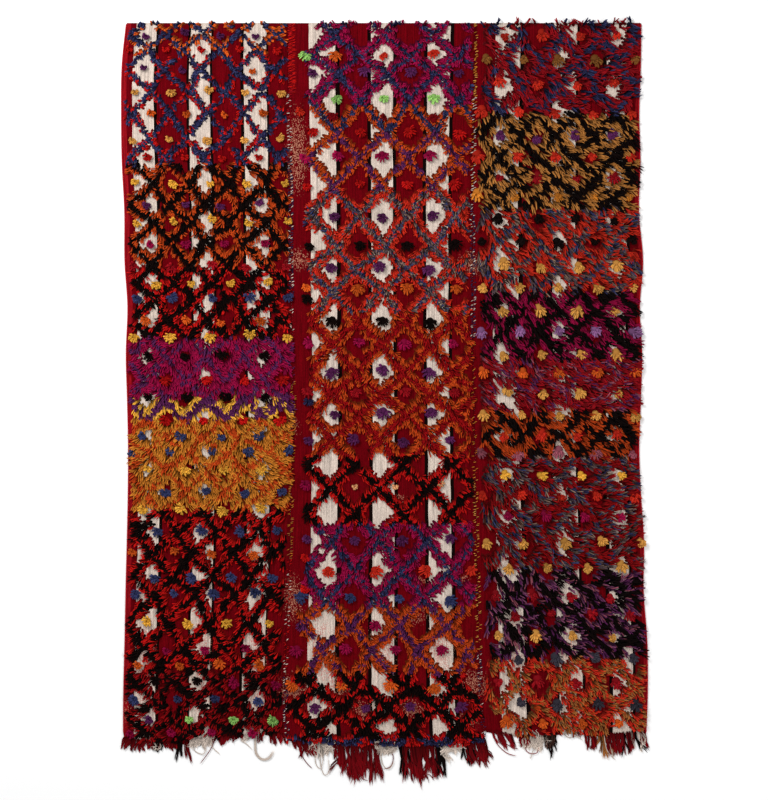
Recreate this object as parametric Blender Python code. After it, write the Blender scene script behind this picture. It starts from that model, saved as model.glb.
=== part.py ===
"""Three-panel kilim rug with a knotted diamond lattice and a loose fringe, lying flat.

Metres. X runs across the rug, Y along it to its top edge, Z up. The origin is on the underside,
at the middle of the rug. Each panel is one solid: its flat underside, its woven ground and the
lumps of its knotted pile. Each fringe is one solid: a strip parted from the panel's lower edge
and the locks of warp ends that grow out of it.
"""
import math
import random

import bmesh
import bpy
import numpy as np

COLLECTION = "kilim_rug"

# Cloth
GROUND = 0.0035          # thickness of the bare woven ground
SELVEDGE = 0.0045        # thickness at the sewn and bound side edges
TOP_Y = 1.194            # top edge of the three panels
SEAM_GAP = 0.0004        # clearance between two panels along a seam
STRIP_GAP = 0.0004       # clearance between a panel and the strip that carries its fringe
STRIP_WIDTH = 0.008      # the strip's size along Y
STRIP_INSET = 0.002      # the strip's ends stop this much short of the panel's sides

# Side edges and seams, from the top edge down. The seams wander as the hand sewing does.
OUTLINE_COLUMNS = ("y", "left_edge", "left_seam", "right_seam", "right_edge")
OUTLINE = (
    (1.200, -0.812, -0.304, 0.291, 0.809),
    (1.060, -0.826, -0.303, 0.289, 0.807),
    (0.900, -0.828, -0.300, 0.285, 0.802),
    (0.760, -0.826, -0.297, 0.282, 0.806),
    (0.600, -0.818, -0.294, 0.280, 0.801),
    (0.440, -0.817, -0.294, 0.280, 0.814),
    (0.300, -0.808, -0.293, 0.281, 0.804),
    (0.150, -0.813, -0.290, 0.281, 0.811),
    (0.000, -0.809, -0.288, 0.283, 0.807),
    (-0.150, -0.806, -0.290, 0.286, 0.802),
    (-0.300, -0.807, -0.294, 0.289, 0.808),
    (-0.440, -0.810, -0.296, 0.292, 0.817),
    (-0.600, -0.814, -0.302, 0.295, 0.816),
    (-0.750, -0.817, -0.308, 0.299, 0.827),
    (-0.910, -0.821, -0.311, 0.304, 0.829),
    (-1.100, -0.822, -0.304, 0.319, 0.822),
)

# Lower edge of each panel, across the rug: x, y.
LOWER_EDGE = {
    "left": ((-0.822, -1.060), (-0.740, -1.070), (-0.625, -1.072), (-0.580, -1.060),
             (-0.445, -1.050), (-0.385, -1.044), (-0.304, -1.052)),
    "middle": ((-0.304, -1.062), (-0.170, -1.075), (-0.010, -1.079), (0.175, -1.085),
               (0.270, -1.075), (0.319, -1.066)),
    "right": ((0.319, -1.034), (0.380, -1.044), (0.505, -1.054), (0.555, -1.042),
              (0.680, -1.048), (0.822, -1.038)),
}

# Lattice of each panel: the diamonds' pitch across and along, the x of a diamond's middle, the y
# of the first row of diamonds, the panel's side columns of OUTLINE and the colour of its material.
PANEL_COLUMNS = ("name", "sides", "pitch_x", "pitch_y", "tuft_x", "tuft_y", "colour")
PANELS = (
    ("left", ("left_edge", "left_seam"), 0.116, 0.138, -0.748, 1.160, (0.16, 0.014, 0.012)),
    ("middle", ("left_seam", "right_seam"), 0.155, 0.170, -0.008, 1.092, (0.22, 0.022, 0.010)),
    ("right", ("right_seam", "right_edge"), 0.119, 0.136, 0.500, 1.150, (0.14, 0.016, 0.016)),
)
STEPS_PER_DIAMOND = 4    # grid steps across and along one diamond

# Height of the pile's ridges above the underside, by bands down each panel: lower end y, height.
PILE_BANDS = {
    "left": ((0.745, 0.0085), (0.195, 0.0115), (-0.055, 0.0130), (-0.335, 0.0140),
             (-0.850, 0.0125), (-1.100, 0.0135)),
    "middle": ((0.935, 0.0095), (0.665, 0.0105), (0.290, 0.0125), (-0.170, 0.0115),
               (-0.640, 0.0125), (-0.850, 0.0115), (-1.100, 0.0145)),
    "right": ((0.910, 0.0125), (0.605, 0.0155), (0.345, 0.0140), (-0.175, 0.0145),
              (-0.525, 0.0150), (-0.800, 0.0165), (-1.100, 0.0150)),
}
RISE = {"ridge": 0.0, "crossing": 0.0010, "tuft": 0.0022}   # what stands over the ridges
RIM_SHARE = 0.6          # pile at a panel's top and lower edge, as a share of its full height
HEIGHT_SPREAD = 0.18     # uneven pile: largest change as a share of its height
PLACE_SPREAD = 0.005     # uneven pile: largest shift of a lump in the cloth's plane

# Locks of pile that hang over the rug's edge. On the top edge they reach from start to end x,
# down the right edge from start to end y.
RIM_COLUMNS = ("panel", "edge", "start", "end", "reach", "drift")
RIM_LOCKS = (
    ("middle", "top", -0.175, -0.120, 0.016, -0.004),
    ("middle", "top", -0.030, 0.050, 0.020, 0.004),
    ("middle", "top", 0.125, 0.215, 0.018, 0.006),
    ("right", "top", 0.310, 0.800, 0.019, 0.008),
    ("right", "side", 1.180, 0.900, 0.006, -0.006),
    ("right", "side", 0.580, 0.380, 0.008, -0.010),
    ("right", "side", -0.400, -1.000, 0.007, -0.008),
)
LOCK_TIP = 0.0015        # height of a rim lock's tip

# Fringe: clusters of locks from start to end x. Roots share the span; each lock ends at the given
# reach below the panel's edge, longest where the cluster's crown is (0 its start, 1 its end), and
# its tip drifts sideways.
FRINGE_COLUMNS = ("start", "end", "locks", "reach", "rim_reach", "crown", "drift")
FRINGES = {
    "left": (
        (-0.820, -0.735, 13, 0.030, 0.020, 0.3, -0.004),
        (-0.735, -0.640, 13, 0.024, 0.014, 0.7, 0.004),
        (-0.640, -0.612, 4, 0.062, 0.040, 0.5, -0.004),
        (-0.612, -0.530, 11, 0.050, 0.026, 0.4, -0.006),
        (-0.530, -0.445, 11, 0.030, 0.014, 0.6, 0.005),
        (-0.445, -0.382, 8, 0.070, 0.030, 0.8, 0.006),
        (-0.382, -0.305, 11, 0.046, 0.030, 0.4, -0.006),
    ),
    "middle": (
        (-0.303, -0.170, 18, 0.086, 0.030, 0.7, 0.022),
        (-0.170, -0.018, 22, 0.126, 0.062, 0.6, 0.018),
        (-0.018, 0.045, 9, 0.058, 0.040, 0.3, -0.003),
        (0.045, 0.188, 21, 0.128, 0.070, 0.5, 0.012),
        (0.188, 0.248, 9, 0.050, 0.034, 0.4, 0.004),
        (0.248, 0.314, 10, 0.078, 0.052, 0.6, 0.010),
    ),
    "right": (
        (0.323, 0.420, 15, 0.066, 0.036, 0.6, 0.026),
        (0.420, 0.500, 11, 0.050, 0.040, 0.4, -0.004),
        (0.500, 0.546, 7, 0.062, 0.036, 0.5, 0.004),
        (0.546, 0.628, 8, 0.018, 0.012, 0.5, 0.006),
        (0.628, 0.676, 7, 0.054, 0.040, 0.5, 0.004),
        (0.676, 0.712, 5, 0.070, 0.030, 0.8, 0.010),
        (0.712, 0.820, 16, 0.074, 0.052, 0.6, 0.006),
    ),
}
LOCK_HEIGHT = 0.0040     # a lock's height at its root
LOCK_BEND_AT = 0.55      # where a lock bends, as a share of its reach
LOCK_BEND_WIDTH = 0.62   # its width there, as a share of its width at the root
LOCK_BEND_HEIGHT = 0.80  # its height there, as a share of its height at the root
REACH_SPREAD = 0.16      # uneven ends: largest change as a share of the reach
FRINGE_COLOUR = (0.13, 0.010, 0.010)
ROUGHNESS = 0.9


def curve_through(points, t):
    """The value at t of a smooth curve through (t, value) points whose t rises."""
    ts = [point[0] for point in points]
    values = [point[1] for point in points]
    slopes = np.gradient(values, ts)
    k = min(max(int(np.searchsorted(ts, t)) - 1, 0), len(ts) - 2)
    span = ts[k + 1] - ts[k]
    s = min(max((t - ts[k]) / span, 0.0), 1.0)
    rise = (1 + 2 * s) * (1 - s) ** 2 * values[k] + s * s * (3 - 2 * s) * values[k + 1]
    return rise + span * (s * (1 - s) ** 2 * slopes[k] - s * s * (1 - s) * slopes[k + 1])


def side_x(column, y):
    """X of a side edge or seam at the height y on the rug."""
    k = OUTLINE_COLUMNS.index(column)
    return float(curve_through([(row[0], row[k]) for row in reversed(OUTLINE)], y))


def lower_y(panel, x):
    """Y of a panel's lower edge at x."""
    return float(curve_through(LOWER_EDGE[panel], x))


def pile_height(panel, y):
    """Height of the pile's ridges at y, easing from one band to the next."""
    bands = PILE_BANDS[panel]
    ends = [TOP_Y] + [end for end, height in bands]
    middles = [((upper + lower) / 2, band[1]) for upper, lower, band in zip(ends, ends[1:], bands)]
    middles.reverse()
    return float(np.interp(y, [m[0] for m in middles], [m[1] for m in middles]))


def make_material(name, colour):
    """Matt wool in one colour."""
    material = bpy.data.materials.new(name)
    material.use_nodes = True
    shader = material.node_tree.nodes["Principled BSDF"]
    shader.inputs["Base Color"].default_value = (*colour, 1.0)
    shader.inputs["Roughness"].default_value = ROUGHNESS
    shader.inputs["Metallic"].default_value = 0.0
    material.diffuse_color = (*colour, 1.0)
    return material


def add_object(bm, name, colour, collection):
    """Turn a bmesh into a named object with its own material."""
    bmesh.ops.recalc_face_normals(bm, faces=bm.faces)
    mesh = bpy.data.meshes.new(name)
    bm.to_mesh(mesh)
    bm.free()
    mesh.materials.append(make_material(name + "_wool", colour))
    piece = bpy.data.objects.new(name, mesh)
    collection.objects.link(piece)
    return piece


def corner_kind(steps):
    """What stands at a grid corner that many steps from a tuft, across and along the panel."""
    if sum(steps) % 2:
        return "ground"
    if steps[0] % 2:
        return "ridge"
    half = STEPS_PER_DIAMOND // 2
    return "crossing" if (steps[0] // half + steps[1] // half) % 2 else "tuft"


def lump_height(panel, kind, y, on_rim, dice):
    """Height over the underside at a grid corner of the given kind."""
    if kind == "ground":
        return GROUND
    pile = pile_height(panel["name"], y) * (1 + HEIGHT_SPREAD * dice.uniform(-1, 1))
    if on_rim:
        return max(GROUND, RIM_SHARE * pile)
    return pile + RISE[kind]


def panel_solid(panel, collection):
    """A panel: a grid bent to its outline, raised along the lattice, closed by a flat underside.

    Returns the corners of its lower edge, from left to right.
    """
    name, sides = panel["name"], panel["sides"]
    dice = random.Random("panel " + name)
    middle_y = (TOP_Y + LOWER_EDGE[name][0][1]) / 2
    left, right = (side_x(side, middle_y) for side in sides)
    columns = round(STEPS_PER_DIAMOND * (right - left) / panel["pitch_x"])
    length = TOP_Y - LOWER_EDGE[name][0][1]
    rows = round(STEPS_PER_DIAMOND * length / panel["pitch_y"])
    tuft_column = round((panel["tuft_x"] - left) / (right - left) * columns)
    tuft_row = rows - round((TOP_Y - panel["tuft_y"]) / length * rows)

    bm = bmesh.new()
    bmesh.ops.create_grid(bm, x_segments=columns, y_segments=rows, size=0.5)
    kinds = {}
    lower_corners = []
    for vert in bm.verts:
        column = round((vert.co.x + 0.5) * columns)
        row = round((vert.co.y + 0.5) * rows)
        place_on_panel(vert, column / columns, row / rows, name, sides)
        if row == 0:
            lower_corners.append(vert)
        kinds[vert] = corner_kind((column - tuft_column, row - tuft_row))
        on_rim = row in (0, rows)
        if column in (0, columns):
            vert.co.z = SELVEDGE
            continue
        vert.co.z = lump_height(panel, kinds[vert], vert.co.y, on_rim, dice)
        if kinds[vert] != "ground" and not on_rim and 1 < column < columns - 1:
            vert.co.x += PLACE_SPREAD * dice.uniform(-1, 1)
            vert.co.y += PLACE_SPREAD * dice.uniform(-1, 1)
    crease_lattice(bm, kinds)
    walls = close_underneath(bm)
    corners = sorted((vert.co.x, vert.co.y) for vert in lower_corners)
    add_rim_locks(bm, walls, name, sides)
    add_object(bm, "panel_" + name, panel["colour"], collection)
    return corners


def crease_lattice(bm, kinds):
    """Split each square so that ridges run on from lump to lump and a moat rings each tuft."""
    for face in list(bm.faces):
        around = [kinds[vert] for vert in face.verts]
        on_ground = "tuft" in around
        ends = [vert for vert in face.verts if (kinds[vert] == "ground") == on_ground]
        bmesh.utils.face_split(face, ends[0], ends[1])


def place_on_panel(vert, u, v, name, sides):
    """Put a grid corner on its panel: u from side to side, v from lower to top edge."""
    y = TOP_Y
    for _ in range(3):
        left = side_x(sides[0], y) + SEAM_GAP / 2
        right = side_x(sides[1], y) - SEAM_GAP / 2
        x = left + u * (right - left)
        lower = lower_y(name, x)
        y = lower + v * (TOP_Y - lower)
    vert.co.x, vert.co.y = x, y


def close_underneath(bm):
    """Give an open sheet walls down to the floor and a flat underside. Returns the walls."""
    rim = [edge for edge in bm.edges if edge.is_boundary]
    made = bmesh.ops.extrude_edge_only(bm, edges=rim)["geom"]
    for vert in made:
        if isinstance(vert, bmesh.types.BMVert):
            vert.co.z = 0.0
    walls = [face for face in made if isinstance(face, bmesh.types.BMFace)]
    bottom = [edge for edge in bm.edges if edge.is_boundary]
    bmesh.ops.contextual_create(bm, geom=bottom)
    return walls


def add_rim_locks(bm, walls, name, sides):
    """Draw the walls under hanging locks of pile out to points."""
    rows = [dict(zip(RIM_COLUMNS, row)) for row in RIM_LOCKS if row[0] == name]
    for wall in walls:
        middle = wall.calc_center_median()
        for row in rows:
            if row["edge"] == "top":
                on_edge = middle.y > TOP_Y - GROUND and row["start"] < middle.x < row["end"]
                tip = (middle.x + row["drift"], middle.y + row["reach"])
            else:
                near = abs(middle.x - side_x(sides[1], middle.y)) < GROUND
                on_edge = near and row["end"] < middle.y < row["start"]
                tip = (middle.x + row["reach"], middle.y + row["drift"])
            if on_edge:
                cap = bmesh.ops.extrude_discrete_faces(bm, faces=[wall])["faces"][0]
                bmesh.ops.pointmerge(bm, verts=cap.verts[:], merge_co=(*tip, LOCK_TIP))
                break


def fringe_solid(panel, edge, collection):
    """A fringe: a strip along the panel's lower edge with a lock growing out of each step of it."""
    edge_xs, edge_ys = zip(*edge)
    name = panel["name"]
    dice = random.Random("fringe " + name)
    clusters = [dict(zip(FRINGE_COLUMNS, row)) for row in FRINGES[name]]
    roots = [clusters[0]["start"]]
    locks = []
    for cluster in clusters:
        width = (cluster["end"] - cluster["start"]) / cluster["locks"]
        for k in range(cluster["locks"]):
            roots.append(cluster["start"] + (k + 1) * width)
            locks.append(lock_shape(cluster, (k + 0.5) / cluster["locks"], dice))
    roots[0] = edge_xs[0] + STRIP_INSET
    roots[-1] = edge_xs[-1] - STRIP_INSET

    bm = bmesh.new()
    bmesh.ops.create_grid(bm, x_segments=len(locks), y_segments=1, size=0.5)
    for vert in bm.verts:
        x = roots[round((vert.co.x + 0.5) * len(locks))]
        inner = float(np.interp(x, edge_xs, edge_ys)) - STRIP_GAP
        vert.co.y = inner if vert.co.y > 0 else inner - STRIP_WIDTH
        vert.co.x = x
        vert.co.z = LOCK_HEIGHT
    walls = close_underneath(bm)
    outer = [wall for wall in walls if is_outer_wall(wall, name)]
    outer.sort(key=lambda wall: wall.calc_center_median().x)
    for wall, lock in zip(outer, locks):
        draw_lock(bm, wall, lock)
    add_object(bm, "fringe_" + name, FRINGE_COLOUR, collection)


def is_outer_wall(wall, name):
    """True for the strip's walls on the side away from the panel."""
    middle = wall.calc_center_median()
    return middle.y < lower_y(name, middle.x) - 0.75 * STRIP_WIDTH


def lock_shape(cluster, share, dice):
    """Reach and sideways drift of the lock at a share of its cluster."""
    off_crown = abs(share - cluster["crown"]) / max(cluster["crown"], 1 - cluster["crown"])
    ease = math.cos(off_crown * math.pi / 2)
    reach = cluster["rim_reach"] + ease * (cluster["reach"] - cluster["rim_reach"])
    reach *= 1 + REACH_SPREAD * dice.uniform(-1, 1)
    return {"reach": reach - STRIP_WIDTH, "drift": cluster["drift"] * reach / cluster["reach"]}


def draw_lock(bm, wall, lock):
    """Grow a lock from a wall of the strip: a narrowed bend, then a point on the floor."""
    bend = bmesh.ops.extrude_discrete_faces(bm, faces=[wall])["faces"][0]
    middle = bend.calc_center_median()
    for vert in bend.verts:
        vert.co.x = middle.x + (vert.co.x - middle.x) * LOCK_BEND_WIDTH + 0.4 * lock["drift"]
        vert.co.y = middle.y - lock["reach"] * LOCK_BEND_AT
        vert.co.z *= LOCK_BEND_HEIGHT
    tip = bmesh.ops.extrude_discrete_faces(bm, faces=[bend])["faces"][0]
    place = (middle.x + lock["drift"], middle.y - lock["reach"], 0.0)
    bmesh.ops.pointmerge(bm, verts=tip.verts[:], merge_co=place)


def clear_scene():
    """Start from an empty file."""
    for item in list(bpy.data.objects):
        bpy.data.objects.remove(item, do_unlink=True)


def main():
    clear_scene()
    collection = bpy.data.collections.new(COLLECTION)
    bpy.context.scene.collection.children.link(collection)
    for row in PANELS:
        panel = dict(zip(PANEL_COLUMNS, row))
        edge = panel_solid(panel, collection)
        fringe_solid(panel, edge, collection)


main()
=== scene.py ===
import math

import bpy
import numpy as np
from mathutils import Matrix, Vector


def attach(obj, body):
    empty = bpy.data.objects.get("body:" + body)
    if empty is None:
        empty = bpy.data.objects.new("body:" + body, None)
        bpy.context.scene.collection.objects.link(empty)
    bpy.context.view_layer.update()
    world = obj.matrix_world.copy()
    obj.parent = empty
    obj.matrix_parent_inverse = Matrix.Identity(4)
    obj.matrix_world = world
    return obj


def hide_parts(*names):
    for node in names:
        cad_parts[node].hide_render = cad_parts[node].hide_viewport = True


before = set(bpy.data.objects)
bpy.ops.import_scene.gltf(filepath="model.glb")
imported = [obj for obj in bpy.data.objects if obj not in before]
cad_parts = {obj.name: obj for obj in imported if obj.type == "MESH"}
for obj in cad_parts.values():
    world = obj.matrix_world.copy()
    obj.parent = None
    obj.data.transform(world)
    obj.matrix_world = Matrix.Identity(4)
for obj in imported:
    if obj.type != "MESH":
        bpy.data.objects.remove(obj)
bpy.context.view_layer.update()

CM = 0.01
MM = 0.001

# The rug's outline, as in the frame's solids.
TOP_Y = 1.194
SEAM_GAP = 0.0004
STRIP_WIDTH = 0.008      # the lower edge's strip, which carries the fringe
OUTLINE_COLUMNS = ("y", "left_edge", "left_seam", "right_seam", "right_edge")
OUTLINE = (
    (1.200, -0.812, -0.304, 0.291, 0.809),
    (1.060, -0.826, -0.303, 0.289, 0.807),
    (0.900, -0.828, -0.300, 0.285, 0.802),
    (0.760, -0.826, -0.297, 0.282, 0.806),
    (0.600, -0.818, -0.294, 0.280, 0.801),
    (0.440, -0.817, -0.294, 0.280, 0.814),
    (0.300, -0.808, -0.293, 0.281, 0.804),
    (0.150, -0.813, -0.290, 0.281, 0.811),
    (0.000, -0.809, -0.288, 0.283, 0.807),
    (-0.150, -0.806, -0.290, 0.286, 0.802),
    (-0.300, -0.807, -0.294, 0.289, 0.808),
    (-0.440, -0.810, -0.296, 0.292, 0.817),
    (-0.600, -0.814, -0.302, 0.295, 0.816),
    (-0.750, -0.817, -0.308, 0.299, 0.827),
    (-0.910, -0.821, -0.311, 0.304, 0.829),
    (-1.100, -0.822, -0.304, 0.319, 0.822),
)
LOWER_EDGE = {
    "left": ((-0.822, -1.060), (-0.740, -1.070), (-0.625, -1.072), (-0.580, -1.060),
             (-0.445, -1.050), (-0.385, -1.044), (-0.304, -1.052)),
    "middle": ((-0.304, -1.062), (-0.170, -1.075), (-0.010, -1.079), (0.175, -1.085),
               (0.270, -1.075), (0.319, -1.066)),
    "right": ((0.319, -1.034), (0.380, -1.044), (0.505, -1.054), (0.555, -1.042),
              (0.680, -1.048), (0.822, -1.038)),
}
SIDES = {
    "left": ("left_edge", "left_seam"),
    "middle": ("left_seam", "right_seam"),
    "right": ("right_seam", "right_edge"),
}

# Yarn colours, as they look in daylight: red, green, blue out of 255.
DYES = {
    "black": (17, 7, 6),
    "umber": (74, 48, 40),
    "charcoal": (62, 58, 68),
    "navy": (40, 38, 70),
    "blue": (54, 60, 100),
    "slate": (92, 74, 78),
    "madder": (106, 2, 12),
    "darkred": (118, 6, 14),
    "red": (186, 20, 18),
    "crimson": (150, 16, 26),
    "orange_red": (196, 42, 26),
    "orange": (208, 86, 28),
    "burnt": (188, 66, 22),
    "magenta": (146, 12, 60),
    "purple": (88, 34, 80),
    "plum": (124, 68, 100),
    "mauve": (150, 78, 92),
    "lavender": (144, 96, 144),
    "ochre": (200, 120, 40),
    "bronze": (190, 124, 60),
    "gold": (220, 154, 72),
    "yellow": (238, 172, 60),
    "tan": (160, 98, 50),
    "fawn": (134, 108, 94),
    "brown": (134, 84, 38),
    "green": (154, 206, 108),
    "peach": (236, 168, 116),
    "ivory": (224, 206, 192),
    "heather": (208, 146, 118),
    "garnet": (112, 8, 16),
    "blood": (142, 12, 16),
}
DYE_NUMBER = {dye: number for number, dye in enumerate(DYES)}
# Yarns spun from several dyes: each strand takes one of these.
HEATHERS = {
    "slate": ("slate", "blue", "slate", "navy", "umber", "fawn"),
    "mauve": ("mauve", "purple", "crimson"),
    "plum": ("plum", "purple", "purple", "mauve"),
    "navy": ("navy", "navy", "blue"),
    "tan": ("tan", "tan", "burnt"),
}
TUBE_SIDES = 6           # sides of a round yarn
RIDGE_SIDES = 3          # points across a strand of pile, which is open below
YARN_FLAT = 0.8          # a strand's height as a share of its width
SHADES = 10              # how many shades of each dye there are
SHADE_SPREAD = 0.60      # the darkest and the lightest differ this much from the dye
ROOT_PAINTED_SHADE = 0.04        # brightness of a strand at its root, as a share of its dye's: painted shade, deep among the other strands
TIP_TONE_AND_HIGHLIGHT = 1.1          # at its tip: partly the fibre ends' own lighter tone, partly a painted highlight
SIDE_PAINTED_SHADE = 0.3          # along both its sides: painted shade between the strands
MOUND_PAINTED_SHADE = 0.12       # and of the wool between the strands: painted shade in the gaps
SHADE_STOPS = (0, 0.36, 0.8, 1)  # where along a strand its painted shading is set, from its root
LOW_PAINTED_SHADE = 0.4          # brightness at the second of these, over a black root: painted shade
MOUND_STOPS = (0.0, 0.1)  # how far up a strand's painted shading a mound's rim and peak are
COLUMN_USED = 0.7        # how much of a palette column's width a strand takes
COLUMN_MARGIN = 0.02     # and what stays free at each of its ends

# Woven stripes of each panel: where each starts, in cm across, and its dye.
STRIPES = {
    "left": ((0, "crimson"), (1.3, "madder"), (3.2, "ivory"), (9.9, "black"),
             (10.9, "madder"), (20.0, "black"), (20.9, "ivory"), (27.4, "black"),
             (28.3, "madder"), (37.1, "black"), (38.0, "ivory"), (45.1, "black"),
             (45.9, "madder")),
    "middle": ((0, "madder"), (6.2, "ivory"), (14.2, "black"), (15.5, "madder"),
               (24.0, "black"), (25.0, "ivory"), (31.7, "black"), (32.9, "madder"),
               (41.0, "black"), (42.2, "ivory"), (49.0, "black"), (50.3, "madder")),
    "right": ((0, "madder"), (6.0, "ivory"), (14.2, "black"), (15.5, "madder"),
              (24.2, "black"), (24.9, "ivory"), (32.2, "black"), (33.1, "madder"),
              (40.7, "black"), (42.0, "ivory"), (48.2, "black"), (48.9, "madder"),
              (51.6, "crimson")),
}

# The lattice of diamonds. Tufts stand in rows: how far down a row is, how far across its first
# tuft is (both in cm) and the dyes of its tufts from the left, the last of which goes on
# ("none" where the diamonds are empty).
PITCH_AT_TOP = {"left": 11.5, "middle": 15.4, "right": 11.8}
PITCH_AT_END = {"left": 12.9, "middle": 15.2, "right": 12.2}
ROWS = {
    "left": (
        (3.5, 6.9, "purple"), (8.5, 13.0, "red"), (14.8, 7.0, "purple purple none orange"),
        (21.8, 15.7, "gold"), (28.4, 9.5, "orange"), (36.9, 15.1, "gold"),
        (42.6, 7.8, "red"), (50.5, 15.6, "yellow"), (57.4, 7.1, "purple"),
        (62.8, 15.5, "yellow"), (69.4, 7.5, "magenta"), (76.7, 14.6, "crimson"),
        (82.0, 8.9, "yellow"), (86.8, 14.6, "blue"), (94.0, 5.9, "orange"),
        (98.8, 13.9, "yellow"), (104.7, 6.4, "black"), (112.6, 12.5, "red"),
        (118.0, 6.7, "black"), (125.2, 11.5, "red"), (130.3, 4.5, "blue"),
        (135.2, 13.3, "blue"), (140.7, 5.7, "yellow"), (148.0, 11.5, "blue"),
        (153.3, 4.6, "yellow"), (160.6, 10.1, "blue"), (167.2, 2.0, "orange"),
        (174.8, 8.5, "blue"), (179.8, 2.9, "blue"), (189.3, 6.9, "yellow"),
        (197.2, 12.7, "magenta"), (202.2, 4.4, "orange"),
        (207.9, 9.7, "black black magenta"), (213.6, 3.8, "blue"),
        (219.6, 8.2, "purple green"), (223.6, 14.8, "magenta"),
    ),
    "middle": (
        (3.6, 7.2, "none"), (10.4, 15.0, "orange orange_red"), (15.8, 8.0, "purple"),
        (24.2, 14.8, "green"), (34.4, 7.4, "red"), (42.3, 14.2, "magenta"),
        (51.4, 5.9, "red"),
        (60.9, 13.6, "purple"), (70.4, 6.3, "black"), (77.9, 12.9, "purple"),
        (84.2, 5.7, "orange"), (94.0, 13.1, "black"), (101.0, 5.1, "magenta"),
        (110.4, 12.2, "purple"), (117.1, 4.8, "crimson"), (123.4, 13.0, "purple"),
        (131.6, 4.7, "purple"), (139.5, 12.1, "none"), (146.4, 4.7, "magenta none"),
        (154.6, 12.4, "none"), (163.1, 4.9, "purple"), (172.9, 12.5, "orange_red"),
        (181.4, 4.6, "blue"), (189.9, 12.5, "none magenta none"), (197.8, 3.4, "magenta"),
        (209.2, 2.2, "orange"), (215.8, 9.5, "purple"), (222.4, 0.9, "none"),
    ),
    "right": (
        (4.4, 9.0, "orange_red"), (12.0, 3.2, "brown"), (19.9, 8.1, "orange_red"),
        (29.0, 1.7, "orange_red"), (36.0, 7.8, "purple"), (42.6, 1.9, "orange_red"),
        (49.2, 8.4, "crimson"), (54.9, 1.9, "ochre"), (62.2, 8.2, "black"),
        (69.1, 2.8, "black"), (77.0, 9.1, "gold"), (83.9, 2.7, "gold"),
        (90.9, 9.0, "gold"), (97.5, 2.9, "lavender"), (105.1, 9.5, "gold"),
        (110.7, 3.5, "orange"), (117.1, 9.8, "gold"), (124.0, 2.7, "gold"),
        (130.6, 8.9, "orange_red"), (136.0, 1.6, "mauve"), (142.9, 9.6, "yellow"),
        (149.5, 2.2, "orange_red"), (155.9, 10.0, "magenta"), (164.1, 3.1, "gold"),
        (172.3, 9.6, "gold"), (181.1, 5.4, "crimson"), (186.8, 11.6, "crimson"),
        (193.4, 5.4, "gold"), (200.3, 12.1, "charcoal"), (208.5, 6.2, "crimson"),
        (215.2, 12.0, "charcoal"), (221.2, 6.8, "orange"),
    ),
}

# Tufts that stand apart from the rows: how far down and across, size as a share, and dye.
LONE_TUFTS = {
    "left": (),
    "middle": (
        (10.4, 5.0, 1.0, "green"), (27.8, 4.0, 0.9, "orange_red"), (29.4, 13.4, 0.8, "garnet"),
        (29.4, 29.8, 0.8, "garnet"), (29.4, 45.6, 1.0, "garnet"), (42.6, 4.8, 0.9, "magenta"),
        (86.8, 5.5, 1.1, "black"), (119.3, 5.2, 1.0, "navy"), (146.4, 20.0, 0.45, "peach"),
        (146.0, 33.0, 0.4, "peach"), (145.4, 46.4, 0.4, "peach"), (168.5, 4.8, 0.8, "red"),
        (179.0, 5.2, 0.8, "red"),
    ),
    "right": (),
}

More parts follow.
